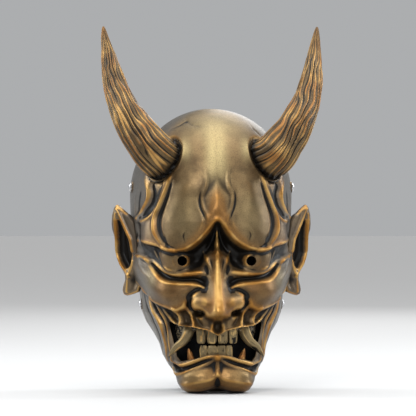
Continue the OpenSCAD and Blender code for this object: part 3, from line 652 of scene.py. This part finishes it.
def ear(side):
    rows, cols = 84, 28
    z, u = np.meshgrid(np.linspace(-35, 52.5, rows), np.linspace(0, 1, cols), indexing="ij")
    x = lookup(EAR_IN, z) * (1 - u) + lookup(EAR_OUT, z) * u
    p = np.stack([x, z], -1)
    half = 3 * np.sqrt(1 - (1 - np.clip(away(p, EAR_FREE)[0], 0, 3) / 3) ** 2)
    rim, _ = away(p, ((89.6, 44), (90.6, 37), (89.4, 22), (89.3, 6.4), (85.2, -5), (79.6, -12.5), (77, -17)))
    crus, t = away(p, ((88.5, 48.5), (86.3, 44), (82.3, 34), (78.6, 25.5), (75.6, 19), (74, 8)))
    fold, _ = away(p, ((73.5, -2), (77, -12.5), (78.6, -21), (79.3, -31)))
    deep = np.where(within(p, CONCHA), 1, -1) * away(p, CONCHA + CONCHA[:1])[0]
    h = 1.9 * np.exp(-(rim / 1.2) ** 2) + 2.4 * np.exp(-(crus / 1.5) ** 2) + 1.8 * np.exp(-(fold / 1.3) ** 2)
    h += 0.8 * ramp(0, 1.5, -deep) - 5.2 * ramp(-1.0, 2.6, deep) - 2.6 * bell(x, z, 73.5, -20, 3.6, 9)
    for line in (((83.5, 24), (81.5, 10), (79, -5)), ((79.8, 18), (78.6, 6), (77, -4))):
        h += 0.9 * np.exp(-(away(p, line)[0] / 0.8) ** 2)
    h *= ramp(0, 2.4, half)
    facing = np.array([0.669, -0.743, 0])
    mid = np.stack([x, -30 + 0.9 * (x - 71), z], -1)
    front, back = mid + facing * (half + h)[..., None], mid - facing * half[..., None]
    fine, broad = blur(h, 1), blur(h, 4)
    edge = np.clip((h - fine) * 1.6 + (h - broad) * 0.42, 0, 1)
    # Dark patina and painted shade in the ear's bowl and its hollows.
    hollow = np.clip((broad - h) * 0.4 + 0.9 * ramp(-0.4, 2.2, deep), 0, 1)
    edge = np.maximum(edge, 0.8 * ramp(2.2, 0.6, away(p, EAR_FREE)[0]) * ramp(-0.5, 0.2, u))
    edge = np.maximum(edge, 0.8 * np.exp(-((deep + 0.8) / 0.9) ** 2))
    flat = np.zeros(rows * cols)
    # Painted reflection: the whole ear takes some of the grey of the side lamps' glare.
    values = {"edge": np.concatenate([edge.ravel(), flat]),
              "hollow": np.concatenate([hollow.ravel(), flat + 0.1]),
              "side": np.concatenate([flat + 0.45, flat + 0.6]), "lining": np.zeros(2 * rows * cols)}
    return slab("ear", front * (side, 1, 1), back * (side, 1, 1), values, side > 0)


face, shell = casting()
# Rivets: the wall's outer and inner face at each pair and the pair's height; then the depth of all four.
RIVETS = ((76.6, 69.0, 69.0), (67.0, 59.8, -43.0))
RIVET_Y = -16
added, cutters = [], [prism(both(MOUTH), -170, -40)]
for s in (-1, 1):
    flip = np.array([s, 1, 1])
    out, seat = horn_out * flip, horn_seat * flip
    # The seat ring round each horn's foot is painted near black: painted shade where the horn meets the head.
    added += [cylinder(seat - 5 * out, out, 22.7, 5, 64, values={"hollow": 0.9}),
              cylinder(seat - 6 * out, out, 14.5, 4, 48, values={"lining": 1})]
    cutters += [prism(circle(PUPIL_X * s, 0, 4.6), -160, -40),
                cylinder((16 * s, -122, -58.5), (0, 0.8, 0.6), 2.9, 48),
                cylinder(seat - 10 * out, out, 8.2, 22), cylinder(seat, out, SEAT, 14, 64)]
    # The raised boss round each rivet's outer end takes the full grey painted reflection of the sides.
    for x_out, x_in, z in RIVETS:
        added += [cylinder((s * x_in, RIVET_Y, z), (s, 0, 0), 5.4, 5, values={"lining": 1}),
                  cylinder((s * (x_out - 2.5), RIVET_Y, z), (s, 0, 0), 5.4, 3.3, values={"side": 1})]
        cutters += [cylinder((s * (x_out - 20), RIVET_Y, z), (s, 0, 0), 2.3, 40)]
cut(shell, added, "UNION")
cut(shell, cutters)
shell = join([shell, ear(-1), ear(1)], "face_casting")
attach(shell, "mask")
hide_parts("face_shell")

# ---- horns ----
# The middle of a horn from foot to tip, as (x, y, z, radius).
HORN_LINE = ((58, -75, 102, 20.6), (66, -74, 112, 19), (74, -69, 123, 17.6), (81, -62, 135, 15.8),
             (87, -53, 147, 13.8), (92, -42, 161, 12), (95.5, -31, 175, 10.3), (98, -20, 188, 8.2),
             (100, -10, 200, 6.1), (102, -2, 212, 4), (103.2, 3, 221, 2), (103.5, 4.5, 224, 0.8))


def loft(name, line, relief, n, values, squash=1.0, up=(0.3, 1, 0), power=1.0):
    """A closed tube along a line of [x, y, z, radius]; relief(u, v) adds to the radius."""
    c, r = line[:, :3], line[:, 3]
    d = np.gradient(c, axis=0)
    d /= np.linalg.norm(d, axis=1, keepdims=True)
    length = np.concatenate([[0], np.cumsum(np.linalg.norm(np.diff(c, axis=0), axis=1))])
    v, u = np.meshgrid(length / length[-1], np.arange(n) / n, indexing="ij")
    a = np.cross(d, up)
    a /= np.linalg.norm(a, axis=1, keepdims=True)
    b = np.cross(d, a)
    t = 2 * np.pi * u
    co, si = np.cos(t), np.sin(t)
    co, si = np.sign(co) * np.abs(co) ** power, np.sign(si) * np.abs(si) ** power
    rad = r[:, None] + relief(u, v)
    pts = c[:, None] + (rad * co)[..., None] * a[:, None] + (rad * si * squash)[..., None] * b[:, None]
    values = {key: f(u, v) for key, f in values.items()}
    return outwards(add_mesh(name, pts.reshape(-1, 3), tube_faces(len(c), n), values))


def bark(seed):
    """Long wavy ridges that part and meet, as a height from -1 to 1 over u (round) and v (along)."""
    def height(u, v):
        w = v ** 0.9
        drift = 0.055 * (value_noise(u, w, 5, 6, seed) - 0.5)
        drift += 0.03 * (value_noise(u, w, 11, 12, seed + 1) - 0.5)
        a = value_noise(u + drift, w, 15, 5, seed + 2) + 0.5 * value_noise(u + drift, w, 30, 11, seed + 3)
        ridge = np.cos(2 * np.pi * (15 * (u + 1.5 * drift) + 1.1 * a))
        fine = np.cos(2 * np.pi * (34 * (u + 1.2 * drift) + 1.4 * a))
        lump = value_noise(u, w, 12, 16, seed + 4) - 0.5
        return 0.5 * ridge + 0.4 * fine + 0.6 * lump
    return height


def horn(side, seed):
    start = [tuple(horn_seat) + (21.2,), tuple(horn_seat + 3 * horn_out) + (21.4,)]
    line = spline(start + list(HORN_LINE), 14)
    line[:, 0] *= side
    high = bark(seed)
    radius = line[:, 3]

    def relief(u, v):
        foot = ramp(0.08, 0.0, v)
        r = np.interp(v[:, 0], v[:, 0], radius)[:, None]
        size = np.minimum(1.0, 0.105 * r) * (1 + 0.5 * foot)
        rough = value_noise(u, np.clip(v * 9, 0, 1), 34, 5, seed + 9) - 0.5
        return size * (high(u, v) - 0.55) + 1.1 * foot * rough - 1.0 * ramp(0.03, 0.0, v)

    # Dark in the bark's grooves, as patina, and painted shade round the horn's foot where it meets the head.
    def grooves_and_shade(u, v):
        return np.maximum(0.68 * ramp(-0.2, -0.95, high(u, v)), ramp(0.07, 0.015, v) * 0.75)
    values = {"edge": lambda u, v: ramp(-0.15, 0.75, high(u, v)) * ramp(0.015, 0.09, v), "hollow": grooves_and_shade,
              "side": lambda u, v: 0 * u}
    obj = loft(("left" if side < 0 else "right") + "_bark_horn", line, relief, 176, values)
    peg = cylinder((horn_seat - 5.6 * horn_out) * (side, 1, 1), horn_out * (side, 1, 1), 8, 7)
    obj = join([obj, peg], obj.name)
    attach(obj, "mask")
    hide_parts(("left" if side < 0 else "right") + "_horn")
    return obj


horns = [horn(-1, 11), horn(1, 47)]


# ---- teeth ----
def mouth_point(x, z, inset):
    """A point behind (or in front of) the broad carved surface at x and z."""
    w, _, _, p, _ = section(np.array(float(z)))
    base, out = plain(np.array(np.sign(x) * np.arcsin((abs(x) / w) ** (1 / p))), np.array(float(z)))
    relief = lining_relief(x, z) if inset > 0 else rough_carving(abs(x), z)
    return base + out * (float(relief) - inset)


def paint(seed, n):
    """Upright streaks on a tooth, n of them round it: light ridges and dark lines, with darker ends that are
    painted shade at the root.
    """
    def streak(u, v):
        return value_noise(u, v, n, 3, seed) * 0.65 + value_noise(u, v, 2 * n, 6, seed + 1) * 0.35

    # Dark lines between the streaks, and darker towards both ends of each tooth: painted shade at the root,
    # under the lip and gum.
    def grooves_and_shade(u, v):
        return np.maximum(ramp(0.36, 0.16, streak(u, v)) * 0.7, 0.4 * ramp(0.86, 1.0, np.abs(2 * v - 1)))
    return {"edge": lambda u, v: ramp(0.5, 0.78, streak(u, v)) * 0.8, "hollow": grooves_and_shade,
            "side": lambda u, v: 0 * u}, streak


def incisor(x, z0, z1, w, z_lip, seed):
    p, q = mouth_point(x - 1, z_lip, WALL + 3.1), mouth_point(x + 1, z_lip, WALL + 3.1)
    c = (p + q) / 2
    yaw = np.arctan2(q[1] - p[1], q[0] - p[0])
    t = np.linspace(0, 1, 30)
    swell = 1 - 0.45 * np.abs(2 * t - 1) ** 7 - 0.05 * (1 - t)
    line = np.stack([c[0] + 0 * t, c[1] + 0 * t, z0 + (z1 - z0) * t, w / 2 * swell], -1)
    values, streak = paint(seed, 24)
    rock = np.random.default_rng(seed).random(2)

    def relief(u, v):
        return 0.9 * (streak(u, v) - 0.5) + 0.3 * rock[0] * np.sin(5 * v + 6 * rock[1])
    return loft("tooth", line, relief, 64, values, 2.2 / (w / 2), (np.sin(yaw), -np.cos(yaw), 0), 0.45)


def fang(side, stops, seed, squash=0.8, warm=0.0):
    """A curved tooth through stops of (x, z, inset, radius)."""
    pts = [(*mouth_point(x, z, inset), r) for x, z, inset, r in stops]
    line = spline(pts, 12)
    line[:, 0] *= side
    values, streak = paint(seed, 14)
    values["warm"] = lambda u, v: 0 * u + warm

    def relief(u, v):
        return (0.9 * (streak(u, v) - 0.5) - 0.1) * ramp(1.02, 0.8, v)
    return loft("fang", line, relief, 56, values, squash, (0.1, 1, 0.1))


def gum(z0, z1, span, corner, seed):
    """The bar that carries a row of teeth, cracked like dry earth where the mouth's corners show it."""
    rows, cols = 44, 150
    a, v = np.meshgrid(np.radians(np.linspace(-span, span, cols)), np.linspace(0, 1, rows))
    drop = corner * ramp(32, 36, np.degrees(np.abs(a)))
    z = (z0 - drop) * (1 - v) + z1 * v
    base, out = plain(a, z)
    lift = lining_relief(base[..., 0], z) - WALL - 0.9
    u = (a - a.min()) / (a.max() - a.min())
    n1, n2 = value_noise(u, v, 26, 5, seed, False), value_noise(u, v, 60, 12, seed + 1, False)
    crack = np.exp(-(np.abs(n1 - 0.5) / 0.05) ** 2) + np.exp(-(np.abs(n2 - 0.55) / 0.06) ** 2)
    h = 0.8 * n1 + 0.5 * n2 - 0.9 * crack - 1.1
    front = base + out * (lift + h)[..., None]
    back = base + out * (lift - 3.6)[..., None]
    flat = np.zeros(rows * cols)
    # Dark patina with painted shade in the cracks, and the whole front a little darker.
    return slab("gum", front, back, {
        "edge": np.concatenate([(0.5 * ramp(0.5, 0.8, n2)).ravel(), flat]),
        "hollow": np.concatenate([np.clip(crack * 0.8 + 0.18, 0, 1).ravel(), flat + 0.5]),
        "side": np.concatenate([flat + 0.5, flat])})


UPPER_FANG = ((29.5, -59.5, 9.0, 5.3), (29.8, -64, 8.2, 5.8), (30.3, -70, 5.0, 5.2), (32, -76, 1.5, 4.4),
              (34.4, -81, -2, 3.6), (37, -86.4, -4.4, 2.3), (39.8, -90.2, -4.6, 0.5))
LOWER_FANG = ((30.2, -96, 9, 3.9), (30.2, -92, 8, 3.5), (30.4, -87, 7.2, 2.3), (30.8, -82.4, 6.4, 0.5))
UPPER_TEETH = ((-16.4, 9.2), (-5.3, 9.8), (5.7, 9.3), (16.6, 8.8))
LOWER_TEETH = ((-15.8, 7), (-5.4, 9), (4.9, 9), (14.3, 6.4))
upper = [gum(-66, -57.8, 45.5, 8.5, 5)]
upper += [incisor(x, -77.9, -62.8, w, -69, 20 + i) for i, (x, w) in enumerate(UPPER_TEETH)]
upper += [fang(side, UPPER_FANG, 31 + side) for side in (-1, 1)]
lower = [gum(-98.2, -93, 35.5, 0, 8)]
lower += [incisor(x, -95.6, -79, w, -96, 40 + i) for i, (x, w) in enumerate(LOWER_TEETH)]
lower += [fang(side, LOWER_FANG, 51 + side, 0.9, 0.9) for side in (-1, 1)]
teeth = []
for parts, name in ((upper, "upper_teeth"), (lower, "lower_teeth")):
    obj = join(parts, name + "_carved")
    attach(obj, "mask")
    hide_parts(name)
    teeth.append(obj)


# ---- black mesh screens ----
def cloth_sheet(name, points):
    """Thin cloth over a grid of points."""
    return slab(name, points, points + (0, CLOTH, 0))


CLOTH = 0.5
MOUTH_HALF = ((-99, 36), (-90, 40.5), (-80, 43.6), (-70, 45), (-60, 46.5), (-54, 46.5))
v, u = np.meshgrid(np.linspace(0, 1, 30), np.linspace(-1, 1, 60), indexing="ij")
z = -98.5 + 44 * v
x = u * lookup(MOUTH_HALF, z)
y = -89.5 + 23.5 * (x / 45) ** 2 - 2.5 * ramp(0.86, 1, np.abs(u))
mouth_screen = cloth_sheet("mouth_gauze", np.stack([x, y, z], -1))
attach(mouth_screen, "mask")
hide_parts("mouth_screen")

eye_screens = []
for side, name in ((-1, "left"), (1, "right")):
    v, u = np.meshgrid(np.linspace(-9.4, 9.4, 24), np.linspace(21.2, 39.3, 30), indexing="ij")
    base, out = plain(np.radians(u), v)
    back = lining_lift(face, base[..., 0], np.radians(u), v).min(axis=0)
    back = np.convolve(np.pad(back, 3, mode="edge"), np.full(7, 1 / 7), "valid")
    pts = base + out * (back - WALL - 1.6)[None, :, None]
    pts[..., 0] *= side
    eye_screen = cloth_sheet(name + "_eye_gauze", pts)
    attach(eye_screen, "mask")
    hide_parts(name + "_eye_screen")
    eye_screens.append(eye_screen)


# ---- foam pads: crowned, cloth faced, with a stitched edge ----
def pad(name, a0, a1, z0, z1, thick, side=1):
    v, u = np.meshgrid(np.linspace(-1, 1, 40), np.linspace(-1, 1, 60), indexing="ij")
    corner = 0.12
    zz = (z0 + z1) / 2 + v * (1 - corner * np.abs(u) ** 5) * (z1 - z0) / 2
    a = np.radians((a0 + a1) / 2 + u * (1 - corner * np.abs(v) ** 5) * (a1 - a0) / 2)
    base, out = plain(a, zz)
    lift = lining_relief(base[..., 0], zz) - WALL - 0.7
    rim = 1 - np.maximum(np.abs(u), np.abs(v))
    rise = 1 - (1 - np.clip(rim / 0.3, 0, 1)) ** 2.6
    seam = np.exp(-((rim - 0.09) / 0.03) ** 2)
    back = base + out * lift[..., None]
    front = base + out * (lift - 0.9 - (thick - 1.1) * rise + 0.9 * seam)[..., None]
    obj = slab(name + "_cushion", front * (side, 1, 1), back * (side, 1, 1))
    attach(obj, "mask")
    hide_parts(name)
    return obj


pads = [pad("forehead_pad", -34, 34, 36, 59, 7), pad("left_cheek_pad", 32, 58, -36, -10, 7, -1),
        pad("right_cheek_pad", 32, 58, -36, -10, 7), pad("chin_pad", -24, 24, -116, -100, 6)]


# ---- elastic straps: flat webbing that hangs in a loop from its two rivets ----
def strap(name, x_in, hinge_z, leg, mid, width, eye):
    x = x_in - 0.3
    half = [(x, width / 2 - 0.3), (x, 0), (x, -eye), (x - 1.5, -eye - 5)]
    bend = 9
    for t in np.radians(np.arange(10, 91, 8)):
        half.append((mid - bend + bend * np.cos(t), -leg + bend - bend * np.sin(t)))
    full = half + [(-p, q) for p, q in half[::-1]]
    path = [np.array(full[0])]
    for a, b in zip(full[:-1], full[1:]):
        a, b = np.array(a), np.array(b)
        n = max(1, int(np.linalg.norm(b - a) / 2.0))
        path += [a + (b - a) * (i + 1) / n for i in range(n)]
    path = np.array(path)
    d = np.gradient(path, axis=0)
    d /= np.linalg.norm(d, axis=1, keepdims=True)
    normal = np.stack([-d[:, 1], d[:, 0]], -1)
    run = np.concatenate([[0], np.cumsum(np.linalg.norm(np.diff(path, axis=0), axis=1))])
    # The cross-section of the webbing: (across from -1 to 1, depth in mm), with eased edges.
    ring = [(s, 0.1) for s in np.linspace(-1, 1, 13)] + [(s, 1.9) for s in np.linspace(1, -1, 13)]
    ring = [(s, t if abs(s) < 0.97 else 0.5 + (t > 1) * 1.0) for s, t in ring]
    pts, along, across = [], [], []
    for k, (p, nrm) in enumerate(zip(path, normal)):
        end = min(run[k], run[-1] - run[k])
        half_w = width / 2 * np.sqrt(max(1 - max(1 - end / (width / 2), 0) ** 2, 0.02))
        for s, t in ring:
            q = p - nrm * t
            pts.append((q[0], RIVET_Y + s * half_w, hinge_z + q[1]))
            along.append(run[k])
            across.append(s * half_w)
    faces = tube_faces(len(path), len(ring))
    obj = add_mesh(name + "_webbing", pts, faces, {"along": along, "across": across})
    cut(outwards(obj), [cylinder((-x - 5, RIVET_Y, hinge_z), (1, 0, 0), 2.1, 2 * x + 10, 32)])
    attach(obj, name)
    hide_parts(name)
    return obj


straps = [strap("upper_strap", *RIVETS[0][1:], 92, 52, 25, 14),
          strap("lower_strap", *RIVETS[1][1:], 66, 33, 20, 6)]


# ---- materials ----
class Look:
    """A material, with short ways to add nodes to it."""

    def __init__(self, name):
        self.material = bpy.data.materials.new(name)
        self.material.use_nodes = True
        self.nodes, self.links = self.material.node_tree.nodes, self.material.node_tree.links
        self.shader = self.nodes["Principled BSDF"].inputs

    def feed(self, socket, value):
        """Wires another node's output to a socket, or sets the socket to a plain number or colour."""
        if isinstance(value, bpy.types.NodeSocket):
            self.links.new(value, socket)
        else:
            socket.default_value = (*value, 1) if isinstance(value, tuple) else value

    def surface(self, **values):
        """Feeds the shader's own sockets."""
        for name, value in values.items():
            self.feed(self.shader[name.replace("_", " ")], value)

    def math(self, operation, *values):
        n = self.nodes.new("ShaderNodeMath")
        n.operation = operation
        for socket, value in zip(n.inputs, values):
            self.feed(socket, value)
        return n.outputs[0]

    def held(self, name):
        """The value that the mesh holds at its points under this name."""
        n = self.nodes.new("ShaderNodeAttribute")
        n.attribute_name = name
        return n.outputs["Fac"]

    def place(self):
        """The point on the object, in metres."""
        return self.nodes.new("ShaderNodeTexCoord").outputs["Object"]

    def mix(self, factor, a, b):
        """A colour mix; a and b are sockets or plain colours."""
        n = self.nodes.new("ShaderNodeMix")
        n.data_type = "RGBA"
        for k, value in ((0, factor), (6, a), (7, b)):
            self.feed(n.inputs[k], value)
        return n.outputs[2]

    def spread(self, value, low, high, to_low=0.0, to_high=1.0):
        """Turns the range low to high into another one, eased at both ends."""
        n = self.nodes.new("ShaderNodeMapRange")
        n.interpolation_type = "SMOOTHSTEP"
        for socket, number in zip(n.inputs, (value, low, high, to_low, to_high)):
            self.feed(socket, number)
        return n.outputs[0]

    def noise(self, scale, detail):
        n = self.nodes.new("ShaderNodeTexNoise")
        for key, value in (("Vector", self.place()), ("Scale", scale), ("Detail", detail)):
            self.feed(n.inputs[key], value)
        return n.outputs["Fac"]

    def wave(self, value, step):
        """Smooth stripes from 0 to 1, one for each step of the value."""
        return self.spread(self.math("SINE", self.math("MULTIPLY", value, 2 * np.pi / step)), -1, 1)

    def bump(self, height, strength, distance):
        """A fine relief on the surface."""
        n = self.nodes.new("ShaderNodeBump")
        for key, value in (("Height", height), ("Strength", strength), ("Distance", distance)):
            self.feed(n.inputs[key], value)
        self.links.new(n.outputs["Normal"], self.shader["Normal"])


# Painted light in these colours: the brass is a painted highlight, the side grey a painted reflection of the
# side lamps, and the hollow black is dark patina deepened into painted shade.
HIGHLIGHT_BRASS, SPECK_DARK, SIDE_GREY = (0.38, 0.30, 0.145), (0.05, 0.039, 0.024), (0.15, 0.142, 0.13)
PATINA_AND_SHADE_BLACK, LINING_BLACK = (0.004, 0.003, 0.002), (0.016, 0.014, 0.012)


def bronze(name, dull, bright, brown, rust, gold, shine):
    """Aged metal paint: cloudy body colour, gilt on the raised edges, painted highlights, a painted grey
    reflection on the steep sides, and black in the hollows (dark patina with painted shade) and the lining.
    """
    look = Look(name)
    hollow, lining = look.held("hollow"), look.held("lining")
    speck, cloud, smoke = look.noise(1200, 4), look.noise(45, 3), look.noise(130, 5)
    body = look.mix(look.spread(cloud, 0.35, 0.65), dull, bright)
    body = look.mix(look.spread(smoke, 0.5, 0.75, 0, 0.55), body, dull)
    body = look.mix(look.spread(look.held("warm"), 0.05, 0.8, 0, 0.9), body, brown)
    # Painted highlight: the body turns bright brass where the lamps' reflections fall.
    body = look.mix(look.held("sheen"), body, HIGHLIGHT_BRASS)
    body = look.mix(look.spread(speck, 0.42, 0.75, 0, 0.5), body, SPECK_DARK)
    # Painted reflection: the steep sides turn cool grey, as the side lamps' glare would show them.
    body = look.mix(look.spread(look.held("side"), 0.1, 1.0, 0, 0.85), body, SIDE_GREY)
    gilt = look.mix(look.spread(cloud, 0.4, 0.6), rust, gold)
    colour = look.mix(look.spread(look.held("edge"), 0.22, 0.9), body, gilt)
    # Black in the hollows: dark patina, deepened into painted shade.
    colour = look.mix(look.spread(hollow, 0.08, 0.55), colour, PATINA_AND_SHADE_BLACK)
    bare = look.spread(look.math("MAXIMUM", hollow, lining), 0.1, 0.7, shine, 0.05)
    look.surface(Base_Color=look.mix(lining, colour, LINING_BLACK), Metallic=bare,
                 Roughness=look.spread(speck, 0.3, 0.7, 0.34, 0.5), Specular_IOR_Level=0.2)
    look.bump(speck, 0.12, 0.0004)
    return look.material


def gauze():
    look = Look("black_gauze")
    split = look.nodes.new("ShaderNodeSeparateXYZ")
    look.feed(split.inputs[0], look.place())
    weave = look.math("MULTIPLY", *(look.wave(split.outputs[axis], 0.0009) for axis in "XZ"))
    look.surface(Base_Color=look.mix(weave, (0.003, 0.003, 0.0032), (0.011, 0.011, 0.012)), Roughness=0.85,
                 Specular_IOR_Level=0.15)
    look.bump(weave, 0.4, 0.0002)
    return look.material


def webbing():
    """Ribs across and cords along the strap, 1.1 mm and 1.9 mm apart."""
    look = Look("woven_elastic")
    rib, cord = look.wave(look.held("along"), 1.1), look.wave(look.held("across"), 1.9)
    weave = look.math("MULTIPLY_ADD", rib, 0.6, cord)
    colour = look.mix(look.spread(weave, 0.1, 1.5), (0.008, 0.008, 0.009), (0.045, 0.045, 0.048))
    look.surface(Base_Color=colour, Roughness=0.8)
    look.bump(weave, 0.5, 0.0003)
    return look.material


def foam_cloth():
    look = Look("foam_cloth")
    fuzz = look.noise(1400, 3)
    colour = look.mix(look.spread(fuzz, 0.35, 0.65), (0.028, 0.028, 0.031), (0.075, 0.075, 0.082))
    look.surface(Base_Color=colour, Roughness=0.92)
    look.bump(fuzz, 0.35, 0.0003)
    return look.material


def worn(name, dark, light, metallic, rough, scale, dent):
    """Metal or moulded plastic with handling marks: uneven tone and gloss, and a fine surface grain."""
    look = Look(name)
    marks = look.noise(scale, 5)
    look.surface(Base_Color=look.mix(look.spread(marks, 0.35, 0.65), dark, light), Metallic=metallic,
                 Roughness=look.spread(marks, 0.3, 0.7, *rough))
    look.bump(look.noise(2400, 3), dent, 0.0002)
    return look.material


def dress(objects, mat):
    for obj in objects:
        obj.data.materials.clear()
        obj.data.materials.append(mat)


def frame_object(name):
    """The CAD object of a node."""
    return next(o for o in bpy.data.objects if o.type == "MESH" and o.name.split(".")[0] == name)


def dress_nodes(names, mat):
    for name in names:
        for slot in frame_object(name).material_slots:
            slot.material = mat


dress([shell], bronze("antique_bronze", (0.098, 0.062, 0.032), (0.194, 0.128, 0.062), (0.215, 0.102, 0.03),
                      (0.30, 0.142, 0.032), (0.48, 0.285, 0.092), 0.85))
dress(horns, bronze("horn_paint", (0.085, 0.055, 0.027), (0.15, 0.098, 0.044), (0.215, 0.102, 0.03),
                    (0.27, 0.125, 0.036), (0.41, 0.235, 0.075), 0.6))
dress(teeth, bronze("tooth_paint", (0.16, 0.118, 0.06), (0.235, 0.175, 0.088), (0.30, 0.12, 0.03),
                    (0.38, 0.2, 0.06), (0.52, 0.35, 0.14), 0.6))
dress([mouth_screen, *eye_screens], gauze())
dress(pads, foam_cloth())
for obj in straps:
    dress([obj], webbing())

HANDS = ("left", "right")
ZINC = ("horn_washer", "horn_screw", "temple_burr", "jaw_burr")
dress_nodes([f"{hand}_{part}_rivet" for hand in HANDS for part in ("temple", "jaw")],
            worn("rivet_steel", (0.42, 0.42, 0.43), (0.68, 0.68, 0.69), 1, (0.2, 0.38), 420, 0.1))
dress_nodes([f"{hand}_{part}" for hand in HANDS for part in ZINC],
            worn("zinc_plate", (0.36, 0.37, 0.38), (0.58, 0.58, 0.55), 1, (0.3, 0.5), 260, 0.15))
dress_nodes(["upper_strap_slider", "lower_strap_slider"],
            worn("black_nylon", (0.012, 0.012, 0.013), (0.024, 0.024, 0.026), 0, (0.32, 0.55), 300, 0.3))

# ---- stage, light and camera ----
VIEW_AZ, VIEW_EL, REACH = -3.3, 0.5, 3.5
TARGET = Vector((-0.0060, -0.060, 0.0494))
# The width of the picture at the target in metres, and the camera's sensor in millimetres.
SEEN, SENSOR = 0.3952, 36
FLOOR_RADIUS, FLOOR_Z = 9000, -124.7


def area_light(name, place, size, power, colour=(1, 1, 1)):
    lamp = bpy.data.lights.new(name, "AREA")
    lamp.shape, lamp.size, lamp.size_y, lamp.energy, lamp.color = "RECTANGLE", *size, power, colour
    obj = bpy.data.objects.new(name, lamp)
    obj.location = place
    obj.rotation_euler = (TARGET - Vector(place)).to_track_quat("-Z", "Y").to_euler()
    bpy.context.scene.collection.objects.link(obj)


def studio_floor():
    """A plain pale round floor under the mask."""
    look = Look("pale_floor")
    look.surface(Base_Color=(0.5, 0.5, 0.5), Roughness=0.9)
    turn = np.linspace(0, 2 * np.pi, 97)[:-1]
    rim = [(FLOOR_RADIUS * np.cos(t), FLOOR_RADIUS * np.sin(t), FLOOR_Z) for t in turn]
    obj = add_mesh("floor", rim, [list(range(96))])
    obj.data.materials.append(look.material)


def studio_world():
    """Pale around the horizon, as a room with pale walls is, and dimmer overhead."""
    world = bpy.data.worlds.new("studio")
    world.use_nodes = True
    nodes, links = world.node_tree.nodes, world.node_tree.links
    place = nodes.new("ShaderNodeTexCoord")
    split = nodes.new("ShaderNodeSeparateXYZ")
    links.new(place.outputs["Generated"], split.inputs[0])
    up = nodes.new("ShaderNodeMapRange")
    links.new(split.outputs["Z"], up.inputs["Value"])
    for key, value in (("From Min", 0.07), ("From Max", 0.26), ("To Min", 0.43), ("To Max", 0.18)):
        up.inputs[key].default_value = value
    background = nodes["Background"]
    background.inputs["Color"].default_value = (0.96, 0.98, 1, 1)
    links.new(up.outputs[0], background.inputs["Strength"])
    bpy.context.scene.world = world


studio_floor()
studio_world()
sky = bpy.data.lights.new("overhead", "SUN")
sky.energy, sky.angle = 2.2, np.radians(110)
sky_object = bpy.data.objects.new("overhead", sky)
sky_object.location = (0, 0, 3)
bpy.context.scene.collection.objects.link(sky_object)
area_light("key", (-0.6, -1.7, 1.3), (0.8, 1.0), 19)
area_light("top", (0.05, 0.0, 1.6), (1.3, 1.5), 14)
area_light("rear", (0.5, 1.7, 0.9), (0.8, 1.0), 8)
area_light("fill", (1.1, -1.5, 0.6), (0.9, 1.1), 8)
area_light("rim_left", (-1.1, 0.3, 0.6), (0.35, 1.1), 9, (0.93, 0.97, 1))
area_light("rim_right", (1.1, 0.3, 0.6), (0.35, 1.1), 9, (0.93, 0.97, 1))
bpy.context.scene.view_settings.view_transform = "Standard"

lens = bpy.data.cameras.new("camera")
lens.sensor_width = SENSOR
lens.lens = SENSOR * REACH / SEEN
camera = bpy.data.objects.new("camera", lens)
az, el = np.radians(VIEW_AZ), np.radians(VIEW_EL)
camera.location = TARGET + REACH * Vector((np.sin(az) * np.cos(el), -np.cos(az) * np.cos(el), np.sin(el)))
camera.rotation_euler = (TARGET - camera.location).to_track_quat("-Z", "Y").to_euler()
bpy.context.scene.collection.objects.link(camera)
bpy.context.scene.camera = camera
